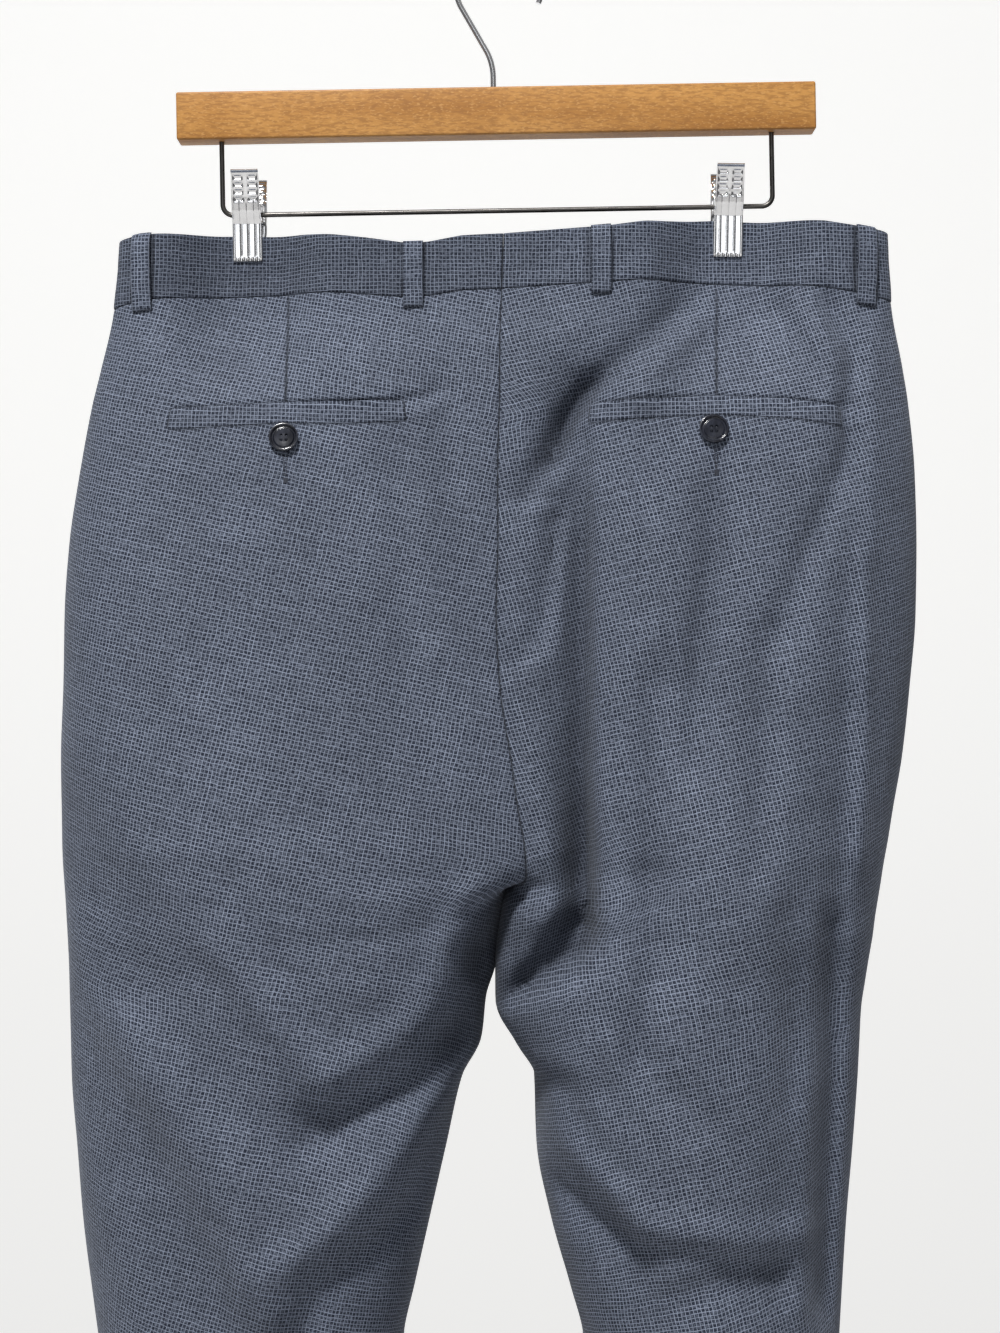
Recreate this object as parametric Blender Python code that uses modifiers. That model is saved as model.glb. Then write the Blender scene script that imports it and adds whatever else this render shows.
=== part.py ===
"""Flat-front dress trousers, hung by the waistband from a wooden bar hanger with two spring clips.

Metres, +Z up. The origin is the top of the inside of the hanger's hook, where the rail carries it.
The wearer's back faces -Y and the wearer's left is at -X. Lengths in the tables are millimetres.
The cloth is one smooth surface: rings round each leg, worked out from the section table, cut into
panels at the seams and given their thickness inwards.
"""

import math

import bmesh
import bpy
import numpy as np
from mathutils import Matrix, Vector

MM = 0.001

# ---- hanger ----
BAR_LENGTH = 355.6
BAR_HEIGHT = 26.5
BAR_DEPTH = 16.0
BAR_EDGE = 1.2
BAR_TOP = -80.0
BAR_MIDDLE = -2.7
HANGER_TILT = math.radians(1.0)
HOOK_WIRE = 1.65
HOOK_BEND = 24.0
HOOK_SHANK_X = -4.0
HOOK_LEAN = math.radians(29.0)
HOOK_TIP = math.radians(-24.0)
HOOK_IN_BAR = 14.0
RAIL_WIRE = 1.4
RAIL_HALF = 153.6
RAIL_DROP = 67.6
RAIL_BEND = 6.0
RAIL_IN_BAR = 8.0
FIT = 0.3

# ---- clips: where they press the cloth, and their size above and below the rail ----
CLIP_LEFT_X = -139.6
CLIP_RIGHT_X = 128.8
CLIP_PRESS_LEVEL = -166.0
CLIP_RIGHT_LEAN = math.radians(2.0)
CLIP_FLAT = 11.0
CLIP_WIDTH = 18.0
CLIP_TOP = 24.5
CLIP_TIP = -27.0
CLIP_SHEET = 0.9
CLIP_SPREAD = 13.5
CLIP_WAIST = 6.0
CLIP_BITE_TOP = -5.5
EAR_OUT = 7.6
EAR_IN = 6.3
EAR_SHEET = 0.8
EAR_PAST = 3.3
EAR_BOTTOM = -3.0
EAR_TOP = 4.2
SPRING_RADIUS = 3.7
SPRING_HALF = 5.4

# ---- cloth ----
WAIST_TOP = -160.2
BAND_HEIGHT = 40.0
BAND_WALL = 2.2
BAND_PROUD = 0.6
CLOTH_WALL = 1.2
SEAM_GAP = 0.3
CLIP_HALF_CLOTH = BAND_WALL + SEAM_GAP - BAND_PROUD
SEAT_GAP = 0.6
LOOP_WIDTH = 11.0
LOOP_WALL = 1.5
WELT_WALL = 0.8
BUTTON_RADIUS = 7.5
BUTTON_THICK = 2.8
HOLE_RADIUS = 0.75
HOLE_OUT = 1.35
FLY_LENGTH = 178.0
FLY_WIDTH = 38.0
FLY_OVERLAP = 8.0
ZIP_HALF = 13.0
TAB_LENGTH = 38.0
TAB_UNDER = 4.0
POCKET_TOP_X = 172.0
POCKET_SLANT = 0.26
POCKET_BOTTOM = 212.0
POCKET_EDGE_WIDTH = 7.0

# name, back (-1) or front (1), middle of the loop across the waist
BELT_LOOPS = (
    ("belt_loop_back_left", -1, -46.5), ("belt_loop_back_right", -1, 56.5),
    ("belt_loop_side_left", -1, -196.0), ("belt_loop_side_right", -1, 202.5),
    ("belt_loop_front_left", 1, -96.0), ("belt_loop_front_right", 1, 84.0),
)
# drop down the loop, and how far it stands off the cloth there
LOOP_ROWS = ((0, 1.3), (5, 4.4), (13, 5.4), (28, 5.4), (37, 4.6), (46.5, 0.7))
# name, points along the welt's upper edge (x, level below the waist line), its height, button x, level
BACK_POCKETS = (
    ("left", ((-177.5, 104.0), (-116.0, 100.8), (-80.0, 101.0), (-50.0, 99.3)),
     10.9, -114.5, 120.2),
    ("right", ((49.5, 101.0), (85.0, 98.8), (119.0, 97.3), (157.0, 99.0), (185.5, 102.5)),
     9.7, 115.5, 115.5),
)

# Sections down the garment. drop: below the waist edge at the side seam; back_drop, front_drop: the
# same for the inner end of the section, which runs down the centre seam, under the fork and down
# the inseam. out and in: reach from the middle to the side seam and to the inner end, left and
# right. seam: depth of the centre seam behind or before the side seam; belly: how much the panel
# swells between its seams. leg: 0 where the section is half a body, 1 where it is a whole leg.
# blunt: how square the side fold is; inner: how square the inner end is. crease: pressed edge.
SECTION_COLUMNS = (
    "drop", "back_drop", "front_drop", "out_l", "out_r", "in_l", "in_r",
    "seam_b", "belly_b", "seam_f", "belly_f", "leg", "blunt", "inner", "crease",
)
# How far the inner end of a leg is turned, the right one back and the left one forward, where the
# two legs press past each other under the fork: (drop, turn).
LEG_PASS = np.array([(380, 0), (390, 3), (402, 9), (415, 10), (428, 8), (448, 4), (470, 0)])
SECTIONS = np.array([
    (0, 0, 0, 210.6, 216.8, -3, 3, 13, 2, 12, 2, 0, 0.50, 1, 0),
    (40, 40, 40, 214.0, 219.0, -2, 2, 23, 4, 20, 4, 0, 0.55, 1, 0),
    (76, 76, 76, 221.2, 225.0, -1, 1, 34, 9, 28, 8, 0, 0.60, 1, 0),
    (96, 96, 96, 225.7, 228.0, -1, 1, 39, 12, 32, 11, 0, 0.62, 1, 0),
    (135, 135, 135, 232.4, 231.5, 0, 0, 46, 17, 37, 15, 0, 0.66, 1, 0),
    (174, 174, 174, 238.0, 232.4, 0, 0, 51, 21, 41, 20, 0, 0.70, 1, 0),
    (213, 213, 213, 240.6, 231.8, 1, -1, 54, 25, 42, 25, 0, 0.74, 1, 0),
    (252, 252, 250, 241.2, 228.5, -1, 1, 57, 29, 42, 30, 0, 0.78, 1, 0),
    (292, 292, 287, 242.5, 224.0, -7, 7, 60, 33, 39, 36, 0, 0.82, 1, 0),
    (320, 320, 312, 243.4, 220.0, -11, 11, 62, 36, 34, 42, 0, 0.85, 1, 0),
    (338, 337, 327, 243.3, 217.0, -14, 14, 62, 40, 28, 48, 0, 0.88, 1, 0),
    (350, 349, 338, 243.0, 215.0, -15, 15, 60, 43, 22, 54, 0.05, 0.90, 1, 0),
    (360, 356, 347, 242.4, 213.4, -15, 15, 53, 49, 15, 60, 0.12, 0.92, 0.85, 0),
    (370, 359, 353, 241.6, 211.6, -12, 12, 38, 60, 8, 67, 0.25, 0.94, 0.70, 0),
    (380, 360, 358, 240.8, 209.8, -8, 8, 17, 76, 3, 72, 0.45, 0.96, 0.60, 0),
    (390, 361, 361, 239.9, 208.3, -6.0, 6.8, 0, 88, 0, 76, 0.65, 0.98, 0.55, 0),
    (402, 381, 381, 239.5, 206.2, -2.7, 1.6, 0, 89, 0, 79, 0.85, 1, 0.60, 0.5),
    (415, 404, 404, 239.3, 204.2, 0.6, -1.6, 0, 90, 0, 82, 1, 1, 0.72, 1),
    (428, 424, 424, 239.1, 202.2, 6.4, -1.5, 0, 91, 0, 84, 1, 1, 0.82, 1.5),
    (448, 447, 447, 238.6, 201.0, 9.0, 9.0, 0, 91, 0, 86, 1, 1, 0.90, 2),
    (467.6, 467.6, 467.6, 238.0, 200.0, 19.4, 20.0, 0, 90, 0, 87, 1, 1, 0.95, 2.5),
    (506.7, 506.7, 506.7, 234.4, 197.2, 28.5, 21.4, 0, 88, 0, 87, 1, 1, 1, 3),
    (545.8, 545.8, 545.8, 231.0, 193.9, 37.4, 29.0, 0, 86, 0, 86, 1, 1, 1, 3.5),
    (584.9, 584.9, 584.9, 225.4, 191.0, 46.2, 40.0, 0, 84, 0, 84, 1, 1, 1, 4),
    (614, 614, 614, 221.5, 189.4, 52.5, 47.4, 0, 83, 0, 83, 1, 1, 1, 4.5),
    (700, 700, 700, 208.5, 184.5, 58.5, 53.0, 0, 80, 0, 82, 1, 1, 1.02, 5),
    (800, 800, 800, 197.0, 177.5, 64.5, 58.0, 0, 78, 0, 79, 1, 1, 1.05, 5.5),
    (900, 900, 900, 188.0, 171.0, 68.5, 61.5, 0, 76, 0, 76, 1, 1, 1.08, 6),
    (1000, 1000, 1000, 181.5, 166.5, 71.0, 64.0, 0, 74, 0, 74, 1, 1, 1.10, 6.5),
    (1055, 1055, 1055, 180.0, 165.0, 71.5, 64.5, 0, 74, 0, 74, 1, 1, 1.10, 6.5),
])

# Height of the waist edge above its nominal line, across the back, as it waves between the clips.
WAIST_EDGE = np.array([
    (-212, -4.0), (-197, -1.7), (-150, -0.6), (-128, -0.6), (-108, -1.2), (-80, -3.6), (-51, -6.4),
    (-38, -5.4), (-20, -1.8), (5, -0.4), (57, 3.4), (80, 5.6), (113, 7.0), (142, 6.7), (180, 5.0),
    (220, 0.5),
])
# How far the sloping waistband lifts its lower seam, most in the middle of each side.
BAND_LIFT = 6.0
BAND_LIFT_END = 250.0
EDGE_WAVE_END = 170.0

# The largest folds: on the back (-1) or the front (1), each along a line of (x, drop) places that
# stands out by height, or in where that is negative; reach_l and reach_r are how far it spreads to
# the left and the right of the line as it is walked.
FOLD_COLUMNS = ("face", "height", "reach_l", "reach_r", "line")
FOLDS = (
    (-1, -15, 16, 14, ((-6, 400), (-24, 438))),
    (-1, 6, 14, 12, ((-28, 380), (-66, 394))),
    (-1, -13, 14, 28, ((-16, 450), (-60, 464), (-92, 478), (-110, 492))),
    (-1, -8, 24, 26, ((-226, 335), (-180, 408), (-140, 458), (-104, 490))),
    (-1, 9, 16, 26, ((-30, 474), (-52, 508), (-78, 542), (-112, 574))),
    (-1, -6, 22, 22, ((-226, 470), (-184, 520), (-166, 560), (-156, 606))),
    (-1, 9, 24, 12, ((24, 462), (62, 512), (74, 534), (90, 560))),
    (-1, -9, 14, 14, ((26, 516), (52, 536), (70, 550), (90, 562), (150, 566))),
    (-1, -6, 22, 22, ((178, 270), (174, 385), (166, 480), (156, 565))),
    (-1, -4, 20, 20, ((110, 165), (102, 270), (94, 400))),
    (-1, -7, 18, 18, ((38, 95), (42, 170), (48, 270), (42, 380))),
    (-1, -8, 18, 18, ((110, 32), (52, 78), (34, 110), (8, 148))),
    (1, -6, 24, 24, ((-60, 470), (-140, 560))),
    (1, -6, 24, 24, ((55, 480), (130, 570))),
    (1, -5, 22, 22, ((-30, 330), (-110, 300))),
    (1, -5, 22, 22, ((34, 330), (112, 305))),
    (1, -4, 26, 26, ((-150, 70), (-130, 240))),
    (1, -4, 26, 26, ((150, 80), (130, 240))),
)

# Columns of the cloth's grid, as distances from the middle along the waist edge.
COLUMNS_LEFT = (0, 22, 45, 68, 92, 110, 128.6, 139.6, 150.2, 166, 182, 197, 206)
COLUMNS_RIGHT = (0, 22, 45, 68, 90, 105, 117.8, 128.8, 139.8, 154.5, 170, 187, 202, 212)
SIDE_TURN = 0.07
BAND_ROWS = (0.0, 14.0, 20.0, 29.0, BAND_HEIGHT)
ROW_STEP = 38.0
POCKET_ROWS = (90.0, 130.0)
CHARCOAL = (0.105, 0.115, 0.145)


# ------------------------------------------------------------------ the cloth's surface


def monotone(knots, values, at):
    """Smooth values between the rows of a table, with no overshoot."""
    step = np.diff(knots)
    slope = np.diff(values) / step
    lean = np.zeros(len(knots))
    same = slope[:-1] * slope[1:] > 0
    inner = np.zeros(len(slope) - 1)
    inner[same] = 2 * slope[:-1][same] * slope[1:][same] / (slope[:-1][same] + slope[1:][same])
    lean[1:-1] = inner
    lean[0], lean[-1] = slope[0], slope[-1]
    i = np.clip(np.searchsorted(knots, at, side="right") - 1, 0, len(step) - 1)
    u = (at - knots[i]) / step[i]
    return (
        (1 + 2 * u) * (1 - u) ** 2 * values[i]
        + u * (1 - u) ** 2 * step[i] * lean[i]
        + u * u * (3 - 2 * u) * values[i + 1]
        - u * u * (1 - u) * step[i] * lean[i + 1]
    )


def section(drops):
    """The section table's columns at these drops, by name."""
    found = {}
    for number, name in enumerate(SECTION_COLUMNS):
        found[name] = monotone(SECTIONS[:, 0], SECTIONS[:, number], drops)
    return found


def smooth_step(value, start, end):
    u = np.clip((value - start) / (end - start), 0, 1)
    return u * u * (3 - 2 * u)


def clip_hold(x, drop):
    """1 where a clip presses the cloth flat, 0 where it hangs free."""
    near = np.zeros(np.shape(x))
    for middle in (CLIP_LEFT_X, CLIP_RIGHT_X):
        near = np.maximum(near, 1 - smooth_step(np.abs(x - middle), CLIP_FLAT, 52))
    return near * (1 - smooth_step(drop, 22, 120))


def fold_height(face, x, drop):
    """How far the folds of the back (-1) or front (1) stand out at these places."""
    total = np.zeros(np.shape(x))
    for row in FOLDS:
        fold = dict(zip(FOLD_COLUMNS, row))
        if fold["face"] != face:
            continue
        strength = np.zeros(np.shape(x))
        for (x0, drop0), (x1, drop1) in zip(fold["line"], fold["line"][1:]):
            along = np.array((x1 - x0, drop1 - drop0), float)
            length = np.hypot(*along)
            along /= length
            from_start = (x - x0) * along[0] + (drop - drop0) * along[1]
            across = (x - x0) * along[1] - (drop - drop0) * along[0]
            past = from_start - np.clip(from_start, 0, length)
            reach = np.where(across > 0, fold["reach_l"], fold["reach_r"])
            end_reach = min(fold["reach_l"], fold["reach_r"])
            near = np.exp(-(across / reach) ** 2 - (past / end_reach) ** 2)
            strength = np.maximum(strength, near)
        total += fold["height"] * strength
    return total


def surface(side, turns, drops):
    """Points of the outer surface, in millimetres, as an array of sections by places.

    side is -1 for the left leg and 1 for the right. A turn of -1 is the inner end at the back, 0 the
    side seam and 1 the inner end at the front.
    """
    turn, drop = np.meshgrid(turns, drops)
    row = section(drop)
    suffix = "_l" if side < 0 else "_r"
    t = np.abs(turn)
    face = np.where(turn < 0, -1.0, 1.0)
    out, inn = row["out" + suffix], row["in" + suffix]
    body = np.cos(np.pi * t / 2)
    whole = (1 + np.cos(np.pi * t)) / 2
    x = side * (inn + (out - inn) * (body + (whole - body) * row["leg"]))
    back = face < 0
    seam = np.where(back, row["seam_b"], row["seam_f"])
    belly = np.where(back, row["belly_b"], row["belly_f"])
    half_way = np.sin(np.pi * t / 2) ** row["blunt"]
    bend = np.clip(np.sin(np.pi * t), 0, 1)
    swell = np.where(t > 0.5, bend ** row["inner"], bend)
    depth = seam * half_way + belly * swell
    depth += row["crease"] * np.exp(-np.abs(t - 0.5) / 0.05) * row["leg"]
    passing = np.interp(drop, LEG_PASS[:, 0], LEG_PASS[:, 1]) * smooth_step(t, 0.78, 1.0)
    end_drop = np.where(back, row["back_drop"], row["front_drop"])
    down = drop + (end_drop - drop) * t ** 6
    hold = clip_hold(x, down)
    depth += (CLIP_HALF_CLOTH * np.minimum(1, 1.25 * half_way) - depth) * hold
    free = smooth_step(t, 0.0, 0.22) * (1 - row["leg"] * smooth_step(t, 0.8, 1.0))
    seam_rest = 1 - 0.8 * (1 - row["leg"]) * smooth_step(t, 0.9, 1.0)
    lift_out = np.zeros(np.shape(x))
    for sign in (-1.0, 1.0):
        lift_out += np.where(face == sign, fold_height(sign, x, down), 0)
    depth += lift_out * free * seam_rest * (1 - hold)
    wave = np.interp(x, WAIST_EDGE[:, 0], WAIST_EDGE[:, 1])
    fade = 1 - smooth_step(down, 0, EDGE_WAVE_END)
    lift = BAND_LIFT * (1 - np.abs(x / out) ** 3) * smooth_step(down, 0, BAND_HEIGHT)
    lift *= 1 - smooth_step(down, BAND_HEIGHT, BAND_LIFT_END)
    z = WAIST_TOP - down + wave * fade + lift
    return np.stack([x, face * depth - side * passing, z], axis=-1)


def outward(points, side, closes):
    """Unit normals of a grid of points. closes marks the sections that are whole rings."""
    across = np.empty_like(points)
    across[:, 1:-1] = points[:, 2:] - points[:, :-2]
    across[:, 0] = points[:, 1] - points[:, 0]
    across[:, -1] = points[:, -1] - points[:, -2]
    joined = points[closes, 1] - points[closes, -2]
    across[closes, 0] = joined
    across[closes, -1] = joined
    down = np.gradient(points, axis=0)
    normal = np.cross(down, across) * side
    return normal / np.linalg.norm(normal, axis=-1, keepdims=True)


def places_round(side):
    """Turns of the grid's columns, from the inner end at the back round to that at the front."""
    waist = dict(zip(SECTION_COLUMNS, SECTIONS[0]))
    out, inn, columns = waist["out_r"], waist["in_r"], COLUMNS_RIGHT
    if side < 0:
        out, inn, columns = waist["out_l"], waist["in_l"], COLUMNS_LEFT
    across = (np.array(columns[1:]) - inn) / (out - inn)
    half = sorted([0.0, SIDE_TURN, 1.0, *(2 / math.pi * np.arccos(across))])
    return np.array([-t for t in half[:0:-1]] + half)


class Cloth:
    """One side of the garment between some drops, as a grid of points and their normals."""

    def __init__(self, side, drops):
        self.side, self.drops, self.turns = side, np.array(drops, float), places_round(side)
        self.points = surface(side, self.turns, self.drops)
        self.closes = section(self.drops)["seam_b"] < 0.5
        self.normals = outward(self.points, side, self.closes)

    def at(self, turn, drop):
        """(point, normal) on the grid's own triangles."""
        i = int(np.clip(np.searchsorted(self.drops, drop) - 1, 0, len(self.drops) - 2))
        j = int(np.clip(np.searchsorted(self.turns, turn) - 1, 0, len(self.turns) - 2))
        v = (drop - self.drops[i]) / (self.drops[i + 1] - self.drops[i])
        u = (turn - self.turns[j]) / (self.turns[j + 1] - self.turns[j])
        found = []
        for grid in (self.points, self.normals):
            near, far = grid[i, j], grid[i + 1, j + 1]
            if v > u:
                found.append(near * (1 - v) + grid[i + 1, j] * (v - u) + far * u)
            else:
                found.append(near * (1 - u) + grid[i, j + 1] * (u - v) + far * v)
        return found[0], found[1] / np.linalg.norm(found[1])

    def turn_at(self, face, x, drop):
        """The turn on the back (-1) or front (1) where the cloth at this drop reaches x."""
        turns = self.turns[self.turns * face >= 0]
        line = np.array([self.at(turn, drop)[0][0] for turn in turns])
        order = np.argsort(line)
        return float(np.interp(x, line[order], turns[order]))

    def locate(self, face, x, level):
        """(turn, drop) of the place at x that lies this far straight below the waist line."""
        drop = level
        for _ in range(12):
            turn = self.turn_at(face, x, drop)
            drop += self.at(turn, drop)[0][2] - (WAIST_TOP - level)
        return turn, drop

    def between(self, low, high):
        """These two turns and the grid's own columns between them."""
        inside = self.turns[(self.turns > low + 0.012) & (self.turns < high - 0.012)]
        return np.array([low, *inside, high])

    def piece(self, low, high):
        """(points, normals) of the columns between two turns, less half a seam gap at each end."""
        chosen = (self.turns >= low) & (self.turns <= high)
        points, normals = self.points[:, chosen].copy(), self.normals[:, chosen].copy()
        for edge, inside in ((0, 1), (-1, -2)):
            run = points[:, inside] - points[:, edge]
            run -= normals[:, edge] * (run * normals[:, edge]).sum(axis=-1, keepdims=True)
            run /= np.linalg.norm(run, axis=-1, keepdims=True)
            points[:, edge] += run * SEAM_GAP / 2
        return points, normals


def share_seams(left, right):
    """Give the two sides the same points and normals along the centre seams."""
    still_open = ~left.closes
    for end in (0, -1):
        for grid in ("points", "normals"):
            ours, theirs = getattr(left, grid), getattr(right, grid)
            middle = (ours[still_open, end] + theirs[still_open, end]) / 2
            if grid == "normals":
                middle /= np.linalg.norm(middle, axis=-1, keepdims=True)
            ours[still_open, end] = middle
            theirs[still_open, end] = middle


# ------------------------------------------------------------------ solids


def clear_scene():
    for old in list(bpy.data.objects):
        bpy.data.objects.remove(old)


def material(name, colour, roughness, metallic=0.0):
    made = bpy.data.materials.get(name) or bpy.data.materials.new(name)
    made.use_nodes = True
    shader = made.node_tree.nodes["Principled BSDF"]
    shader.inputs["Base Color"].default_value = (*colour, 1)
    shader.inputs["Roughness"].default_value = roughness
    shader.inputs["Metallic"].default_value = metallic
    return made


def add_object(name, mesh, finish, smooth=True):
    made = bpy.data.objects.new(name, mesh)
    made.data.materials.append(finish)
    PART.objects.link(made)
    if smooth:
        mesh.shade_smooth()
        mesh.set_sharp_from_angle(angle=math.radians(40))
    return made


def wall(name, outer, inner, finish):
    """A closed wall between two grids of points in millimetres, with its rim."""
    rows, columns = outer.shape[:2]
    shape = bmesh.new()
    skins = []
    for grid in (outer, inner):
        skins.append([[shape.verts.new(Vector(p) * MM) for p in line] for line in grid])
    for skin, flip in zip(skins, (False, True)):
        for i in range(rows - 1):
            for j in range(columns - 1):
                near, far = skin[i][j], skin[i + 1][j + 1]
                for corners in ([near, skin[i + 1][j], far], [near, far, skin[i][j + 1]]):
                    shape.faces.new(corners[::-1] if flip else corners)
    rim = [(0, j) for j in range(columns)] + [(i, columns - 1) for i in range(1, rows)]
    rim += [(rows - 1, j) for j in range(columns - 2, -1, -1)] + [(i, 0) for i in range(rows - 2, 0, -1)]
    for (i, j), (k, m) in zip(rim, rim[1:] + rim[:1]):
        shape.faces.new([skins[0][i][j], skins[0][k][m], skins[1][k][m], skins[1][i][j]])
    bmesh.ops.recalc_face_normals(shape, faces=shape.faces)
    mesh = bpy.data.meshes.new(name)
    shape.to_mesh(mesh)
    shape.free()
    return add_object(name, mesh, finish)


def cloth_wall(name, points, normals, thick, finish, proud=0.0):
    return wall(name, points + normals * proud, points + normals * (proud - thick), finish)


def poly_curve(name, points, radius, finish, sides=2):
    """A wire through points in millimetres, with closed ends, as a mesh."""
    data = bpy.data.curves.new(name, "CURVE")
    data.dimensions = "3D"
    data.bevel_depth = radius * MM
    data.bevel_resolution = sides
    data.use_fill_caps = True
    line = data.splines.new("POLY")
    line.points.add(len(points) - 1)
    for place, point in zip(line.points, points):
        place.co = (*(Vector(point) * MM), 1)
    made = bpy.data.objects.new(name, data)
    made.data.materials.append(finish)
    PART.objects.link(made)
    return made


def box_mesh(name, low, high):
    shape = bmesh.new()
    size, middle = Vector(high) - Vector(low), (Vector(high) + Vector(low)) / 2
    bmesh.ops.create_cube(shape, size=1)
    place = Matrix.Translation(middle * MM) @ Matrix.Diagonal((*(size * MM), 1))
    bmesh.ops.transform(shape, verts=shape.verts, matrix=place)
    mesh = bpy.data.meshes.new(name)
    shape.to_mesh(mesh)
    shape.free()
    return mesh


def rod_mesh(name, radius, length, along, sides=12):
    """A cylinder centred on the origin along X, Y or Z."""
    shape = bmesh.new()
    turn = {"X": Matrix.Rotation(math.pi / 2, 4, "Y"), "Y": Matrix.Rotation(math.pi / 2, 4, "X")}
    bmesh.ops.create_cone(
        shape, cap_ends=True, segments=sides, radius1=radius * MM, radius2=radius * MM,
        depth=length * MM, matrix=turn.get(along, Matrix.Identity(4)),
    )
    mesh = bpy.data.meshes.new(name)
    shape.to_mesh(mesh)
    shape.free()
    return mesh


def cutter(mesh, place, parent=None):
    made = bpy.data.objects.new(mesh.name, mesh)
    CUTTERS.objects.link(made)
    made.location = Vector(place) * MM
    made.parent = parent
    made.hide_render = True
    made.display_type = "WIRE"
    return made


def boolean(target, other, operation):
    step = target.modifiers.new(operation.lower() + "_" + other.name, "BOOLEAN")
    step.operation = operation
    step.object = other
    step.solver = "EXACT"


# ------------------------------------------------------------------ hanger


def hook_line():
    """Centre line of the hook: up from inside the bar, over to the left and round to its tip."""
    middle_z = -(HOOK_BEND - HOOK_WIRE)
    start = math.pi + HOOK_LEAN
    arc = [
        (HOOK_BEND * math.cos(a), 0, middle_z + HOOK_BEND * math.sin(a))
        for a in np.linspace(start, HOOK_TIP, 22)
    ]
    foot_x, foot_z = arc[0][0], arc[0][2]
    knee_z = foot_z - (HOOK_SHANK_X - foot_x) / math.tan(HOOK_LEAN)
    knee = Vector((HOOK_SHANK_X, 0, knee_z))
    rise, fall = Vector((foot_x, 0, foot_z)) - knee, Vector((0, 0, -1))
    rise.normalize()
    bend = [
        knee + fall * 8 * (1 - u) ** 2 + rise * 8 * u ** 2
        for u in np.linspace(0, 1, 5)
    ]
    base = Vector((HOOK_SHANK_X, 0, BAR_TOP - HOOK_IN_BAR))
    return [base, *bend, *[Vector(p) for p in arc]]


def rail_line():
    """Centre line of the wire that carries the clips: down from the bar, across and up again."""
    top = BAR_TOP - BAR_HEIGHT + RAIL_IN_BAR
    low = BAR_TOP - RAIL_DROP
    corner = [
        (
            RAIL_HALF - RAIL_BEND + RAIL_BEND * math.cos(a),
            0,
            low + RAIL_BEND - RAIL_BEND * math.sin(a),
        )
        for a in np.linspace(0, math.pi / 2, 6)
    ]
    right = [(RAIL_HALF, 0, top), *corner]
    left = [(-x, y, z) for x, y, z in right]
    return [(BAR_MIDDLE + x, y, z) for x, y, z in left + right[::-1]]


def build_hanger(tilt):
    chrome = material("chrome", (0.80, 0.81, 0.83), 0.12, 1.0)
    steel = material("dark_steel", (0.16, 0.15, 0.14), 0.35, 1.0)
    timber = material("timber", (0.55, 0.31, 0.12), 0.45)
    bar = add_object(
        "hanger_bar",
        box_mesh("hanger_bar", (BAR_MIDDLE - BAR_LENGTH / 2, -BAR_DEPTH / 2, BAR_TOP - BAR_HEIGHT),
                 (BAR_MIDDLE + BAR_LENGTH / 2, BAR_DEPTH / 2, BAR_TOP)),
        timber, smooth=False,
    )
    edge = bar.modifiers.new("edge", "BEVEL")
    edge.width = BAR_EDGE * MM
    edge.segments = 2
    bar.parent = tilt
    hook_hole = rod_mesh("hook_hole", HOOK_WIRE + 2 * FIT, 2 * (HOOK_IN_BAR + FIT), "Z")
    boolean(bar, cutter(hook_hole, (HOOK_SHANK_X, 0, BAR_TOP), tilt), "DIFFERENCE")
    for sign in (-1, 1):
        rail_hole = rod_mesh(f"rail_hole_{sign}", RAIL_WIRE + 2 * FIT, 2 * (RAIL_IN_BAR + FIT), "Z")
        mouth = (BAR_MIDDLE + sign * RAIL_HALF, 0, BAR_TOP - BAR_HEIGHT)
        boolean(bar, cutter(rail_hole, mouth, tilt), "DIFFERENCE")
    poly_curve("hanger_hook", hook_line(), HOOK_WIRE, chrome).parent = tilt
    poly_curve("hanger_rail", rail_line(), RAIL_WIRE, steel).parent = tilt
    swing = math.sin(HANGER_TILT) * CLIP_PRESS_LEVEL
    for name, x, lean in (("left", CLIP_LEFT_X, 0.0), ("right", CLIP_RIGHT_X, CLIP_RIGHT_LEAN)):
        build_clip(name, x + swing, lean, tilt, chrome, steel)


def jaw_profile(face):
    """Outline of a jaw seen from the side, outer skin down and inner skin up, as (y, z)."""
    tip_y = CLIP_HALF_CLOTH + BAND_PROUD + SEAM_GAP
    inner = [
        (tip_y, CLIP_TIP), (tip_y, CLIP_BITE_TOP), (CLIP_WAIST, 1.0),
        (CLIP_WAIST + 2.2, 9.0), (CLIP_SPREAD, CLIP_TOP - 1.5), (CLIP_SPREAD + 1.2, CLIP_TOP),
    ]
    outer = [(y + CLIP_SHEET, z) for y, z in inner]
    return [(face * y, z) for y, z in inner + outer[::-1]]


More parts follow.
